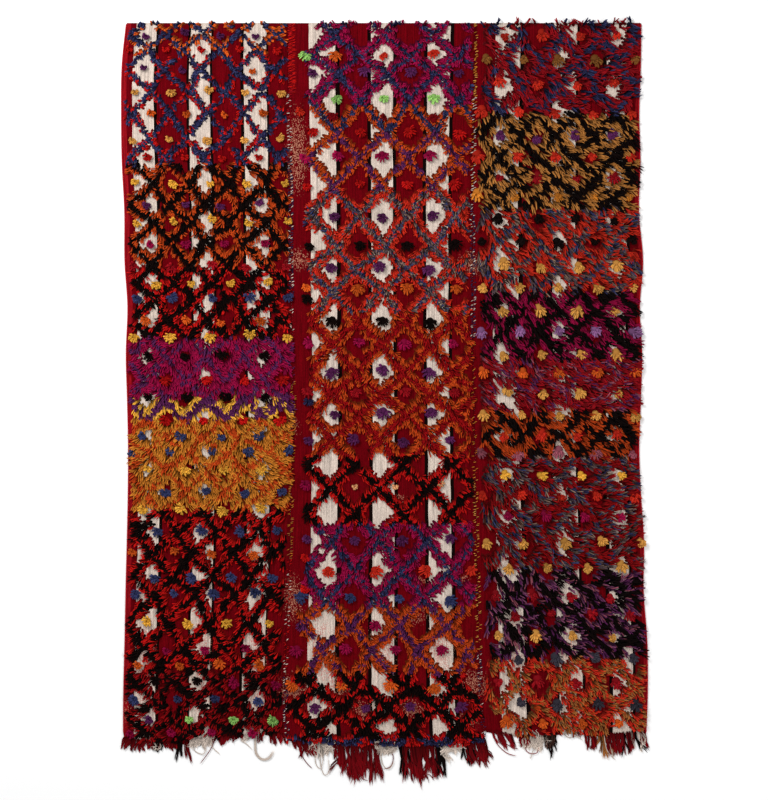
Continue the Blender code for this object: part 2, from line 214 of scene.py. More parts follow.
# Bands of pile down each panel: where a band starts (cm down), the dyes of the lattice's core and
# of its edges, their half widths (mm), the strands' length and rise (mm), the way that they lie
# at the panel's left and right side (degrees, 0 to the right, -90 down the rug), how far single
# knots stray from it (degrees) and how much cloth is bare at the panel's left and right side (mm).
BAND_COLUMNS = ("down", "core", "edge", "core_width", "edge_width", "length", "rise",
                "lie_left", "lie_right", "stray", "bare_left", "bare_right")
BANDS = {
    "left": (
        (0.0, "navy", "orange", 7, 11, 15, 7, -150, -80, 70, 18, 12),
        (10.0, "navy", "red", 7, 10, 15, 7, -150, -80, 70, 18, 12),
        (44.6, "black", "burnt", 9, 17, 21, 10, -140, -60, 42, 22, 12),
        (77.0, "black", "red", 10, 16, 21, 10, -140, -60, 42, 22, 12),
        (99.5, "purple", "magenta", 5, 24, 24, 11, -165, -30, 34, 20, 12),
        (118.2, "purple", "yellow", 11, 20, 25, 11, -150, -50, 34, 20, 12),
        (124.8, "burnt", "ochre", 6, 23, 25, 12, -165, -30, 34, 20, 14),
        (152.8, "black", "red", 9, 16, 25, 11, -160, -122, 30, 20, 14),
        (204.0, "black", "blood", 8, 14, 24, 10, -155, -115, 30, 18, 12),
    ),
    "middle": (
        (0.0, "navy", "magenta", 6, 19, 17, 9, -120, -60, 60, 66, 18),
        (26.0, "navy", "burnt", 7, 18, 17, 9, -120, -60, 56, 62, 18),
        (34.0, "purple", "burnt", 6, 14, 17, 9, -120, -60, 54, 62, 18),
        (53.0, "slate", "orange_red", 8, 20, 18, 9, -120, -60, 54, 56, 18),
        (91.0, "blood", "burnt", 10, 20, 21, 10, -124, -56, 42, 54, 16),
        (136.2, "black", "red", 9, 17, 22, 10, -122, -58, 36, 50, 18),
        (158.0, "navy", "magenta", 6, 20, 18, 9, -120, -60, 46, 50, 16),
        (183.5, "purple", "burnt", 6, 19, 18, 9, -120, -60, 46, 36, 16),
        (205.0, "black", "red", 12, 19, 22, 10, -120, -60, 32, 8, 8),
        (225.6, "navy", "red", 20, 40, 14, 9, -120, -60, 40, 4, 4),
    ),
    "right": (
        (0.0, "navy", "crimson", 7, 21, 30, 13, -80, -5, 28, 22, 20),
        (28.6, "black", "bronze", 11, 24, 31, 14, -80, -20, 22, 12, 20),
        (59.0, "slate", "orange_red", 9, 23, 29, 13, -85, -15, 26, 20, 20),
        (85.0, "black", "magenta", 12, 24, 31, 14, -80, -25, 20, 22, 20),
        (106.0, "mauve", "crimson", 8, 25, 30, 13, -75, -10, 22, 20, 20),
        (122.0, "black", "burnt", 11, 24, 31, 14, -75, -35, 18, 20, 20),
        (137.0, "slate", "blood", 8, 21, 31, 13, -65, 0, 22, 22, 22),
        (172.0, "black", "plum", 10, 18, 31, 14, -95, -10, 26, 28, 22),
        (200.0, "tan", "orange_red", 8, 17, 25, 13, -90, -20, 30, 22, 18),
    ),
}
KNOT_PITCH = {"left": 8.0 * MM, "middle": 8.0 * MM, "right": 9.2 * MM}
KNOT_ASTRAY = 0.3        # how far a knot is from its place, as a share of the pitch
GRID_WIDTH = 0.66        # room for the widest panel's knots
SIDE_WANDER = 6 * MM     # how far the pile's left side is uneven
# How far a line's dyes mix, at the panel's top and from its middle down.
RAGGED = {"left": (1.5 * MM, 4.5 * MM), "middle": (4 * MM, 4 * MM), "right": (8 * MM, 8 * MM)}
LOCKS_MIX = 1.4          # as a multiple of this: whole locks
KNOTS_MIX = 0.4          # and single knots
LINE_WANDER = {"left": 5 * MM, "middle": 4 * MM, "right": 8 * MM}  # how far its lines stray
LINE_BEND = 75 * MM      # over about this distance
ROW_STEP = (0.3, 0.7)    # least and most that the tufts of two rows are offset, in pitches
# A line's width at the panel's left and right side, as a share of its band's.
LINE_SHARE = {"left": (1, 1), "middle": (1, 1), "right": (0.76, 1.08)}
WIDTH_WANDER = 0.2       # how far a line's width strays from that, as a share
LOST_ABOVE = 1.28        # knots are lost where the wear, up to 2, is above this
BARE_END = {"left": 18 * MM, "middle": 9 * MM, "right": 20 * MM}  # cloth without knots below
BAND_RAGGED = 7 * MM     # how far the knots of two bands mix at their border
TOP_KNOTS = 13 * MM      # knots this near the top edge may lie up over it
TOP_CHANCE = 0.6         # and this share of them does
TOP_FAN = 60             # up to this many degrees to each side
TOP_LENGTH = 0.75        # with strands this share as long
LIE_POWER = 0.6          # how soon the left side's lie turns into the right side's
LOCKS_STRAY = 1.5        # how far locks stray from it, in the band's stray
KNOTS_STRAY = 0.45       # and single knots
KNOT_SHADES = (0.56 * SHADES, 0.14 * SHADES)  # mean and spread
KNOT_SIZES = (0.75, 1.15)  # least and most, as a share of the band's strands

STRANDS_PER_KNOT = 3
STRAND_FAN = {"left": 4, "middle": 6, "right": -4}  # degrees between strands of a knot
STRAND_STRAY = 6         # and how far a strand strays, in degrees
STRAND_APART = 2 * MM
STRAND_SIZES = (0.85, 1.15)  # lengths, as a share of the knot's
SEEN_AT = 0.45           # where along a strand the lattice's line passes, as a share
YARN_WIDTH = 3.9 * MM
YARN_WIDTHS = (0.8, 1.25)  # least and most, as a share of it
LAYER = (0.6, 0.3)       # where strands lie in the pile, 0 low and 1 high: mean and spread
LAYER_RISE = (0.35, 0.75)  # share of the band's rise at layer 0, and what layer 1 adds
LAYER_PAINTED_SHADE = 0.32 * SHADES  # shades that layer 1 is lighter than layer 0: painted shade on low strands, under the others
STRAND_SHADE = 0.8       # spread of shades in a knot
WAVE_BOW = 0.9           # how far locks bend sideways, in radians along a strand
STRAND_BOW = 0.3         # and single strands
BENT_FROM = 0.3          # the share of a strand up to which it bends back
ARCH_STOPS = (0, 0.4, 0.75, 1)
ARCH = (0, 1, 0.9, 0)    # how high a strand is there, as a share of its rise
DROOP = (0.3, 0.8)       # how high its tip stays, as a share of it
ROOT_DEPTH = 0.4 * MM    # how far its root is in the cloth
LONG_PILE = 28 * MM      # strands longer than this bend twice
SHORT_STOPS = (0.0, 0.78, 1.0)
LONG_STOPS = (0.0, 0.4, 0.84, 1.0)
SHORT_TAPER = (0.75, 1, 0)
LONG_TAPER = (0.75, 1, 0.9, 0)
MOUND_HEIGHT = 4 * MM
MOUND_RADIUS = 0.72      # in pitches of the knots
MOUND_DEPTH = 0.6 * MM   # how far its rim is in the cloth
MOUND_TURN = 37          # radians for each metre across, so that mounds are turned unlike

TUFT_STRANDS = 28
TUFT_FAN = {"left": 130, "middle": 115, "right": 75}  # degrees to each side
# Length of a tuft's longest strands at the panel's top and from its middle down.
TUFT_LENGTH = {"left": (12 * MM, 19 * MM), "middle": (21 * MM, 24 * MM),
               "right": (27 * MM, 27 * MM)}
TUFT_SIZES = (0.7, 1.2)  # least and most, as a share of it
TUFT_STRAY = 4 * MM      # how far a tuft is from its place
TUFT_MARGIN = 8 * MM     # no tuft stands nearer to a panel's side
TUFT_SET_BACK = 0.6      # how far its root is behind its middle, as a share of its lean
TUFT_ROOT = 4 * MM       # radius of its root
TUFT_RISE = 17 * MM
TUFT_LOW = 0.7           # the rise of its lower strands, as a share of the upper ones'
TUFT_SHORT = 0.45        # upper strands are this share shorter
TUFT_SIDE_SHORT = 0.3    # and the outermost this share shorter than the middle one
TUFT_BOW = 0.9           # how far the outermost bend in, in radians
TUFT_HEART = 12 * MM     # height of the wool between a tuft's strands
TUFT_YARN = 4.8 * MM
TUFT_SHORT_TAPER = (0.8, 1.1, 0)
TUFT_LONG_TAPER = (0.8, 1, 1.15, 0)
# brightness of a tuft's strands at their roots and of its heart: painted shade in the tuft's middle
TUFT_ROOT_PAINTED_SHADE = 0.45
TUFT_SHADES = (0.55 * SHADES, SHADES / 8)  # mean and spread

# Worn spots, where flecks of the weft show through the warp: x, y and radii, in cm.
WEAR_SPOTS = (
    (-75.2, -83.0, 3.0, 18.0), (-57.5, -83.0, 3.0, 18.0), (-40.2, -83.0, 3.0, 18.0),
    (-20.0, -79.0, 3.6, 10.0), (-0.6, -77.0, 3.6, 10.0), (17.8, -77.0, 3.6, 10.0),
    (40.5, -78.0, 3.5, 9.0), (59.0, -84.0, 3.0, 14.0),
    (-27.5, 79.0, 3.0, 12.0), (-27.0, 45.0, 3.5, 3.0), (27.0, 43.5, 3.5, 3.5),
    (-29.0, -8.0, 2.0, 2.5), (-28.5, -62.0, 3.0, 6.5), (-28.0, -91.0, 5.0, 5.0),
    (-13.5, -89.5, 4.5, 4.5), (-7.0, -98.0, 4.0, 4.0), (7.5, -98.0, 4.5, 4.0),
    (28.0, -89.5, 4.5, 4.5), (9.5, -56.5, 4.0, 1.2), (24.0, -56.0, 3.0, 1.2),
    (9.5, -67.0, 3.0, 3.0), (26.0, -100.5, 3.0, 2.5), (-82.0, -97.0, 1.5, 5.0),
    (3.0, -31.0, 4.0, 1.5),
)
MOST_WORN = 0.45         # the wear in the middle of a spot

GROUND_TOP = 3.0 * MM
GROUND_THICK = 2.2 * MM
GROUND_SWELL = 0.9 * MM  # the cloth lies this much uneven
GROUND_STEP = 18 * MM
RIM_DROP = 0.5 * MM      # how much lower its rim is
LEAST_BOTTOM = 0.2 * MM  # the underside's height above the floor, at least
FIT_ROUNDS = 3           # its sides depend on y and its lower end on x, so both are found in turns


def sub_seed(*words):
    """A seed that is the same on each run for the same words."""
    return sum(ord(letter) * (k + 1) for k, letter in enumerate(" ".join(map(str, words))))


def curve_through(points, t):
    """Values at t of a smooth curve through (t, value) points whose t rises."""
    ts, values = np.array(points, float).T
    slopes = np.gradient(values, ts)
    k = np.clip(np.searchsorted(ts, t) - 1, 0, len(ts) - 2)
    span = ts[k + 1] - ts[k]
    s = np.clip((t - ts[k]) / span, 0, 1)
    rise = (1 + 2 * s) * (1 - s) ** 2 * values[k] + s * s * (3 - 2 * s) * values[k + 1]
    return rise + span * (s * (1 - s) ** 2 * slopes[k] - s * s * (1 - s) * slopes[k + 1])


def side_x(column, y):
    """X of a side edge or seam at y."""
    k = OUTLINE_COLUMNS.index(column)
    return curve_through([(row[0], row[k]) for row in reversed(OUTLINE)], y)


def panel_sides(panel, y):
    """X of a panel's left and right side at y."""
    left, right = SIDES[panel]
    return side_x(left, y) + SEAM_GAP / 2, side_x(right, y) - SEAM_GAP / 2


def cloth_end(panel, x):
    """Y of the woven cloth's lower end at x, past the strip that carries the fringe."""
    return curve_through(LOWER_EDGE[panel], x) - STRIP_WIDTH


def drift(x, y, cell, seed):
    """Smooth noise from -1 to 1 with features about one cell across."""
    size = 512
    grid = np.random.default_rng(seed).uniform(-1, 1, (size, size))
    gx, gy = x / cell, y / cell
    i, j = np.floor(gx).astype(int), np.floor(gy).astype(int)
    fx, fy = gx - i, gy - j
    fx, fy = fx * fx * (3 - 2 * fx), fy * fy * (3 - 2 * fy)
    i, j, i2, j2 = i % size, j % size, (i + 1) % size, (j + 1) % size
    low = grid[i, j] * (1 - fx) + grid[i2, j] * fx
    high = grid[i, j2] * (1 - fx) + grid[i2, j2] * fx
    return low * (1 - fy) + high * fy


def ground_height(x, y):
    """Z of the cloth's upper face."""
    return GROUND_TOP + GROUND_SWELL * drift(x + 3.1, y + 5.7, 60 * MM, seed=11)


def linear(dye):
    """A dye's colour as light, for shaders."""
    return [(c / 255 / 12.92 if c <= 10 else ((c / 255 + 0.055) / 1.055) ** 2.4) for c in DYES[dye]]


def mesh_piece(name, points, triangles, material, smooth=True):
    """A mesh object from arrays of points and triangles, riding on the rug."""
    mesh = bpy.data.meshes.new(name)
    mesh.vertices.add(len(points))
    mesh.vertices.foreach_set("co", np.asarray(points, np.float32).ravel())
    mesh.loops.add(triangles.size)
    mesh.loops.foreach_set("vertex_index", triangles.astype(np.int32).ravel())
    mesh.polygons.add(len(triangles))
    mesh.polygons.foreach_set("loop_start", np.arange(len(triangles), dtype=np.int32) * 3)
    mesh.polygons.foreach_set("use_smooth", np.full(len(triangles), smooth))
    mesh.update(calc_edges=True)
    mesh.materials.append(material)
    piece = bpy.data.objects.new(name, mesh)
    bpy.context.scene.collection.objects.link(piece)
    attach(piece, "root")
    return piece


def set_map(piece, name, places):
    """A UV map from one place for each point of the mesh."""
    mesh = piece.data
    corners = np.empty(len(mesh.loops), np.int32)
    mesh.loops.foreach_get("vertex_index", corners)
    layer = mesh.uv_layers.new(name=name)
    layer.data.foreach_set("uv", np.asarray(places, np.float32)[corners].ravel())


def strand_triangles(rings, sides, closed):
    """Triangles of a strand of rings with a pointed tip, facing out: a tube or an open ridge."""
    def corner(ring, side):
        return ring * sides + side % sides
    walls = sides if closed else sides - 1
    triangles = [(0, k, k + 1) for k in range(1, sides - 1)] if closed else []
    for ring in range(rings - 1):
        for k in range(walls):
            a, b = corner(ring, k), corner(ring, k + 1)
            c, d = corner(ring + 1, k + 1), corner(ring + 1, k)
            triangles += [(a, d, c), (a, c, b)]
    tip = rings * sides
    triangles += [(corner(rings - 1, k), tip, corner(rings - 1, k + 1)) for k in range(walls)]
    return np.array(triangles)


def yarn_mesh(paths, widths, closed):
    """Points and triangles of many strands. paths is strands x steps x 3; the last is the tip."""
    count, steps, _ = paths.shape
    sides = TUBE_SIDES if closed else RIDGE_SIDES
    ahead = np.gradient(paths, axis=1)
    ahead /= np.linalg.norm(ahead, axis=2, keepdims=True) + 1e-12
    across = np.cross(ahead, (0.0, 0.0, 1.0))
    across /= np.linalg.norm(across, axis=2, keepdims=True) + 1e-9
    above = np.cross(across, ahead)
    turn = 2 * math.pi / sides if closed else math.pi / (sides - 1)
    rings = []
    for k in range(sides):
        offset = math.cos(turn * k) * across + YARN_FLAT * math.sin(turn * k) * above
        rings.append(paths[:, :-1] + 0.5 * widths[:, :-1, None] * offset[:, :-1])
    body = np.stack(rings, axis=2).reshape(count, (steps - 1) * sides, 3)
    points = np.concatenate([body, paths[:, -1:]], axis=1)
    one = strand_triangles(steps - 1, sides, closed)
    starts = np.arange(count)[:, None, None] * points.shape[1]
    return points.reshape(-1, 3), (one[None] + starts).reshape(-1, 3)


def yarn_colours(dye_index, shade_index, along, rim, root=ROOT_PAINTED_SHADE, tip=TIP_TONE_AND_HIGHLIGHT):
    """Colour and palette place of each point of many strands: painted shade towards the root and a
    tip lighter by its own tone and a painted highlight.
    rim is the brightness of each point around a ring, which paints shade along a strand's sides;
    the palette has a column for each shade of each dye."""
    steps, sides = len(along), len(rim)
    table = np.array([linear(dye) for dye in DYES])
    factor = 1 + SHADE_SPREAD * (2 * (shade_index + 0.5) / SHADES - 1)
    # painted shading along a strand: painted shade from the dark root up, the tip lighter by its
    # own tone and a painted highlight
    painted_shading = np.interp(along, SHADE_STOPS, (root, LOW_PAINTED_SHADE + (1 - LOW_PAINTED_SHADE) * root, 1, tip))
    colour = table[dye_index][:, None] * factor[:, None, None] * painted_shading[None, :, None]
    body = colour[:, :-1, None] * np.array(rim)[None, None, :, None]
    colour = np.concatenate([body.reshape(len(colour), -1, 3), colour[:, -1:]], axis=1)
    colour = np.concatenate([colour, np.ones_like(colour[..., :1])], axis=2)
    beside = (np.arange(sides) / (sides - 1) - 0.5) * COLUMN_USED
    beside = np.concatenate([np.tile(beside, steps - 1), [0.0]])
    u = (dye_index * SHADES + shade_index + 0.5)[:, None] + beside[None]
    u = u / (len(DYES) * SHADES)
    v = np.concatenate([np.repeat(along[:-1], sides), along[-1:]])
    v = np.broadcast_to(COLUMN_MARGIN + (1 - 2 * COLUMN_MARGIN) * v[None], u.shape)
    return colour.reshape(-1, 4), np.stack([u, v], axis=2).reshape(-1, 2)


class Yarn:
    """Strands gathered for one piece, then made into one mesh."""

    def __init__(self):
        self.points, self.triangles, self.colours, self.places = [], [], [], []
        self.count = 0

    def add(self, paths, widths, dyes, shades, along, closed=False, **painted_shading):
        """Strands along paths: strands x stops x 3, the stops' shares of a length in along."""
        if not len(paths):
            return
        # an open ridge of pile gets painted shade along both its sides
        rim = (1.0,) * TUBE_SIDES if closed else (SIDE_PAINTED_SHADE, 1.0, SIDE_PAINTED_SHADE)
        self.join(*yarn_mesh(paths, widths, closed),
                  *yarn_colours(dyes, shades, np.array(along), rim, **painted_shading))

    def add_mounds(self, x, y, radius, height, dyes, shades, sides, shade):
        """Mounds of wool at knots and in tufts, which fill the gaps between the strands; shade sets
        their brightness, a painted shade.
        """
        turn = 2 * math.pi * np.arange(sides)[None] / sides + MOUND_TURN * x[:, None]
        rim_x = x[:, None] + radius[:, None] * np.cos(turn)
        rim_y = y[:, None] + radius[:, None] * np.sin(turn)
        rim = np.stack([rim_x, rim_y, ground_height(rim_x, rim_y) - MOUND_DEPTH], axis=2)
        peak = np.stack([x, y, ground_height(x, y) + height], axis=1)[:, None]
        points = np.concatenate([rim, peak], axis=1)
        one = [(k, (k + 1) % sides, sides) for k in range(sides)]
        starts = np.arange(len(x))[:, None, None] * points.shape[1]
        colours, places = yarn_colours(dyes, shades, np.array(MOUND_STOPS), (1.0,) * sides,
                                       root=shade)
        triangles = (np.array(one)[None] + starts).reshape(-1, 3)
        self.join(points.reshape(-1, 3), triangles, colours, places)

    def join(self, points, triangles, colours, places):
        self.points.append(points)
        self.triangles.append(triangles + self.count)
        self.colours.append(colours)
        self.places.append(places)
        self.count += len(points)

    def piece(self, name, material):
        points = np.concatenate(self.points)
        made = mesh_piece(name, points, np.concatenate(self.triangles), material)
        # the colour attribute holds each point's dye with its painted shade and highlight
        layer = made.data.color_attributes.new("dye", "FLOAT_COLOR", "POINT")
        colours = np.concatenate(self.colours).astype(np.float32)
        layer.data.foreach_set("color", colours.ravel())
        set_map(made, "OFBake", np.concatenate(self.places))
        return made


def row_table(panel):
    """The rows of tufts as arrays: down, first tuft across and pitch, with a row past each end."""
    down, first = np.array([row[:2] for row in ROWS[panel]]).T * CM
    length = TOP_Y - LOWER_EDGE[panel][0][1]
    ends = PITCH_AT_TOP[panel] * CM, PITCH_AT_END[panel] * CM
    pitch = np.interp(down, (0, length), ends)
    down = np.concatenate([[2 * down[0] - down[1]], down, [2 * down[-1] - down[-2]]])
    first = np.concatenate([[first[1]], first, [first[-2]]])
    pitch = np.concatenate([[pitch[1]], pitch, [pitch[-2]]])
    return down, first, pitch


def lattice_distance(panel, across, down):
    """Distance from the nearest line of the lattice that parts the diamonds."""
    row_down, first, pitch = row_table(panel)
    wander = LINE_WANDER[panel]
    stray_across = wander * drift(across, down, LINE_BEND, sub_seed(panel, "across"))
    stray_down = wander * drift(across, down, LINE_BEND, sub_seed(panel, "down"))
    across, down = across + stray_across, down + stray_down
    k = np.clip(np.searchsorted(row_down, down) - 1, 0, len(row_down) - 2)
    height = row_down[k + 1] - row_down[k]
    t = (down - row_down[k]) / height
    here = pitch[k] * (1 - t) + pitch[k + 1] * t
    phase = (first / pitch + 0.5) % 1
    step = np.clip((phase[k + 1] - phase[k]) % 1, *ROW_STEP)
    w = across / here
    gaps = []
    for slant in (step, step - 1):
        away = np.abs((w - phase[k] - t * slant + 0.5) % 1 - 0.5)
        slope = slant * here / height
        gaps.append(away * here / np.sqrt(1 + slope * slope))
    return np.minimum(*gaps)


def band_values(panel, down):
    """For each point, the values of the band of pile that it lies in, by column."""
    rows = BANDS[panel]
    index = np.searchsorted([row[0] * CM for row in rows], down, side="right") - 1
    index = np.clip(index, 0, len(rows) - 1)
    return {column: np.array([DYE_NUMBER.get(row[k], row[k]) for row in rows])[index]
            for k, column in enumerate(BAND_COLUMNS)}


def knot_sites(panel, dice):
    """Places of all knots that the panel's grid has room for: x, y, across, down, share across."""
    pitch = KNOT_PITCH[panel]
    length = TOP_Y - min(y for x, y in LOWER_EDGE[panel])
    i, j = np.meshgrid(np.arange(int(GRID_WIDTH / pitch)), np.arange(int(length / pitch)))
    i, j = i.ravel(), j.ravel()
    across = (i + 0.5 * (j % 2) + dice.uniform(-KNOT_ASTRAY, KNOT_ASTRAY, i.size)) * pitch
    down = (j + 0.5 + dice.uniform(-KNOT_ASTRAY, KNOT_ASTRAY, i.size)) * pitch
    y = TOP_Y - down
    left, right = panel_sides(panel, y)
    x = left + across
    band = band_values(panel, down)
    stray = SIDE_WANDER * drift(x, y, 30 * MM, sub_seed(panel, "sides"))
    inside = (across > band["bare_left"] * MM + stray) & (right - x > band["bare_right"] * MM)
    inside &= y > cloth_end(panel, x) + BARE_END[panel]
    share = across / (right - left)
    return [values[inside] for values in (x, y, across, down, share)]


def strand_paths(x, y, heading, length, rise, bow, stops, dice):
    """Paths of strands that stand up at their roots and lie over: strands x stops x 3."""
    s = np.array(stops)[None]
    turn = heading[:, None] + bow[:, None] * (s - BENT_FROM)
    stride = np.diff(s, axis=1) * length[:, None]
    dx = totals_from_zero(np.cos(turn[:, 1:]) * stride)
    dy = totals_from_zero(np.sin(turn[:, 1:]) * stride)
    droop = dice.uniform(*DROOP, (len(x), 1))
    arch = np.interp(s[0], ARCH_STOPS, ARCH)[None]
    arch = arch + droop * np.interp(s[0], ARCH_STOPS[-2:], (0, 1))[None]
    z = ground_height(x, y)[:, None] - ROOT_DEPTH + rise[:, None] * arch
    return np.stack([x[:, None] + dx, y[:, None] + dy, z], axis=2)


def totals_from_zero(steps):
    """Running totals along each row of steps, from 0."""
    return np.concatenate([np.zeros((len(steps), 1)), np.cumsum(steps, axis=1)], axis=1)


def shade_numbers(shades):
    """Whole numbers of shades, from 0, the darkest."""
    return np.clip(shades, 0, SHADES - 1).astype(int)


def knot_lies(panel, x, y, down, share, dice):
    """The way that each knot lies (degrees), and whether it lies up over the top edge."""
    band = band_values(panel, down)
    lie = band["lie_left"] + (band["lie_right"] - band["lie_left"]) * share ** LIE_POWER
    lie = lie + band["stray"] * (LOCKS_STRAY * drift(x, y, 38 * MM, sub_seed(panel, "lie"))
                                 + KNOTS_STRAY * dice.normal(size=x.size))
    over_top = (down < TOP_KNOTS) & (dice.random(x.size) < TOP_CHANCE)
    up = 90 + dice.uniform(-TOP_FAN, TOP_FAN, x.size)
    return np.where(over_top, up, lie), over_top


def uneven_distance(panel, away, x, y, down, share, dice):
    """Distances from the lattice's line, made uneven and scaled to the line's width there."""
    away = away * (1 + WIDTH_WANDER * drift(x, y, 50 * MM, sub_seed(panel, "width")))
    ragged = np.interp(down, (0, 1), RAGGED[panel])
    away = away + ragged * (LOCKS_MIX * drift(x, y, 13 * MM, sub_seed(panel, "locks"))
                            + KNOTS_MIX * dice.uniform(-1, 1, x.size))
    return away / np.interp(share, (0, 1), LINE_SHARE[panel])


def lattice_knots(panel, dice):
    """The knots of a panel's lattice: their places, ways, lengths and dyes by name."""
    x, y, across, down, share = knot_sites(panel, dice)
    lie, over_top = knot_lies(panel, x, y, down, share, dice)
    reach = SEEN_AT * band_values(panel, down)["length"] * MM
    seen_across = across + reach * np.cos(np.radians(lie))
    seen_down = np.where(over_top, down, down - reach * np.sin(np.radians(lie)))
    band = band_values(panel, seen_down + dice.uniform(-1, 1, x.size) * BAND_RAGGED)
    away = lattice_distance(panel, seen_across, seen_down)
    away = uneven_distance(panel, away, x, y, down, share, dice)
    lost = drift(x, y, 22 * MM, sub_seed(panel, "lost")) + drift(x, y, 90 * MM, seed=3)
    kept = (away < band["edge_width"] * MM) & (lost < LOST_ABOVE)
    knots = {"x": x, "y": y, "lie": lie, "over_top": over_top,
             "dye": np.where(away < band["core_width"] * MM, band["core"], band["edge"]),
             "length": band["length"] * MM, "rise": band["rise"] * MM,
             "wave": drift(x, y, 20 * MM, sub_seed(panel, "wave"))}
    return {name: values[kept] for name, values in knots.items()}


def knot_strands(panel, strand, knots, shade, size, dice):
    """One strand of every knot, as a group of short ones and a group of long ones."""
    x, y, count = knots["x"], knots["y"], knots["x"].size
    place = strand - (STRANDS_PER_KNOT - 1) / 2
    fan = STRAND_FAN[panel] * place
    heading = np.radians(knots["lie"] + fan + dice.normal(0, STRAND_STRAY, count))
    x = x - np.sin(heading) * STRAND_APART * place + dice.uniform(-1, 1, count) * MM
    y = y + np.cos(heading) * STRAND_APART * place + dice.uniform(-1, 1, count) * MM
    length = knots["length"] * size * dice.uniform(*STRAND_SIZES, count)
    length = np.where(knots["over_top"], TOP_LENGTH * length, length)
    layer = np.clip(dice.normal(*LAYER, count), 0, 1)
    rise = knots["rise"] * (LAYER_RISE[0] + LAYER_RISE[1] * layer)
    # strands low in the pile are painted darker, as shade under the others
    shade = shade + LAYER_PAINTED_SHADE * (layer - LAYER[0]) + dice.normal(0, STRAND_SHADE, count)
    bow = WAVE_BOW * knots["wave"] + dice.normal(0, STRAND_BOW, count)
    width = YARN_WIDTH * dice.uniform(*YARN_WIDTHS, count)
    groups = []
    for stops, taper in ((SHORT_STOPS, SHORT_TAPER), (LONG_STOPS, LONG_TAPER)):
        some = (knots["length"] > LONG_PILE) == (stops == LONG_STOPS)
        paths = strand_paths(x[some], y[some], heading[some], length[some], rise[some],
                             bow[some], stops, dice)
        widths = width[some, None] * np.array(taper)
        dyes = heathered(knots["dye"][some], dice)
        groups.append((paths, widths, dyes, shade_numbers(shade[some]), stops))
    return groups


def lattice_pile(panel):
    """The knots of a panel's lattice: groups of strands, and the mounds at the knots."""
    dice = np.random.default_rng(sub_seed("lattice", panel))
    knots = lattice_knots(panel, dice)
    count = knots["x"].size
    shade = dice.normal(*KNOT_SHADES, count)
    size = dice.uniform(*KNOT_SIZES, count)
    groups = []
    for strand in range(STRANDS_PER_KNOT):
        groups += knot_strands(panel, strand, knots, shade, size, dice)
    radius = np.full(count, MOUND_RADIUS * KNOT_PITCH[panel])
    height = np.full(count, MOUND_HEIGHT)
    return groups, (knots["x"], knots["y"], radius, height, knots["dye"], shade_numbers(shade))


def heathered(dye, dice):
    """The dye of each strand: one of its yarn's dyes where the yarn has several."""
    dye = dye.copy()
    for yarn, dyes in HEATHERS.items():
        some = dye == DYE_NUMBER[yarn]
        picks = np.array([DYE_NUMBER[name] for name in dyes])
        dye[some] = picks[dice.integers(0, len(picks), some.sum())]
    return dye


def tuft_sites(panel):
    """The tufts of a panel: how far down and across, size as a share, and number of the dye."""
    down, first, pitch = row_table(panel)
    sites = []
    for row, d, f, p in zip(ROWS[panel], down[1:-1], first[1:-1], pitch[1:-1]):
        dyes = row[2].split()
        left, right = panel_sides(panel, TOP_Y - d)
        start = f - p * math.floor(f / p)
        for k in range(int((right - left - start) / p) + 1):
            nth = k - round((f - start) / p)
            dye = dyes[min(max(nth, 0), len(dyes) - 1)]
            across = start + k * p
            if dye != "none" and TUFT_MARGIN < across < right - left - TUFT_MARGIN:
                sites.append((d, across, 1.0, DYE_NUMBER[dye]))
    for d, across, size, dye in LONE_TUFTS[panel]:
        sites.append((d * CM, across * CM, size, DYE_NUMBER[dye]))
    return np.array(sites).T


def tuft_strands(strand, tufts, spread, dice):
    """One strand of every tuft: a long one below, or a short one over the others."""
    count = tufts["x"].size
    aside = (strand + 0.5) / TUFT_STRANDS * 2 - 1
    upper = strand % 2
    heading = tufts["lie"] + spread * aside + dice.normal(0, 0.13, count)
    x = tufts["x"] + np.cos(heading) * TUFT_ROOT + dice.normal(0, 1 * MM, count)
    y = tufts["y"] + np.sin(heading) * TUFT_ROOT + dice.normal(0, 1 * MM, count)
    length = tufts["length"] * (1 - TUFT_SIDE_SHORT * aside ** 2) * dice.uniform(0.8, 1, count)
    length = length * (1 - TUFT_SHORT * upper)
    rise = TUFT_RISE * tufts["size"] ** 0.5 * (TUFT_LOW + (1 - TUFT_LOW) * upper)
    rise = rise * dice.uniform(0.8, 1.1, count)
    bow = -TUFT_BOW * aside + dice.normal(0, STRAND_BOW, count)
    stops, taper = (SHORT_STOPS, TUFT_SHORT_TAPER) if upper else (LONG_STOPS, TUFT_LONG_TAPER)
    paths = strand_paths(x, y, heading, length, rise, bow, stops, dice)
    width = TUFT_YARN * dice.uniform(0.8, 1.2, count)[:, None] * taper
    shade = tufts["shade"] + dice.normal(0, TUFT_SHADES[1], count)
    return paths, width, tufts["dye"], shade_numbers(shade), stops


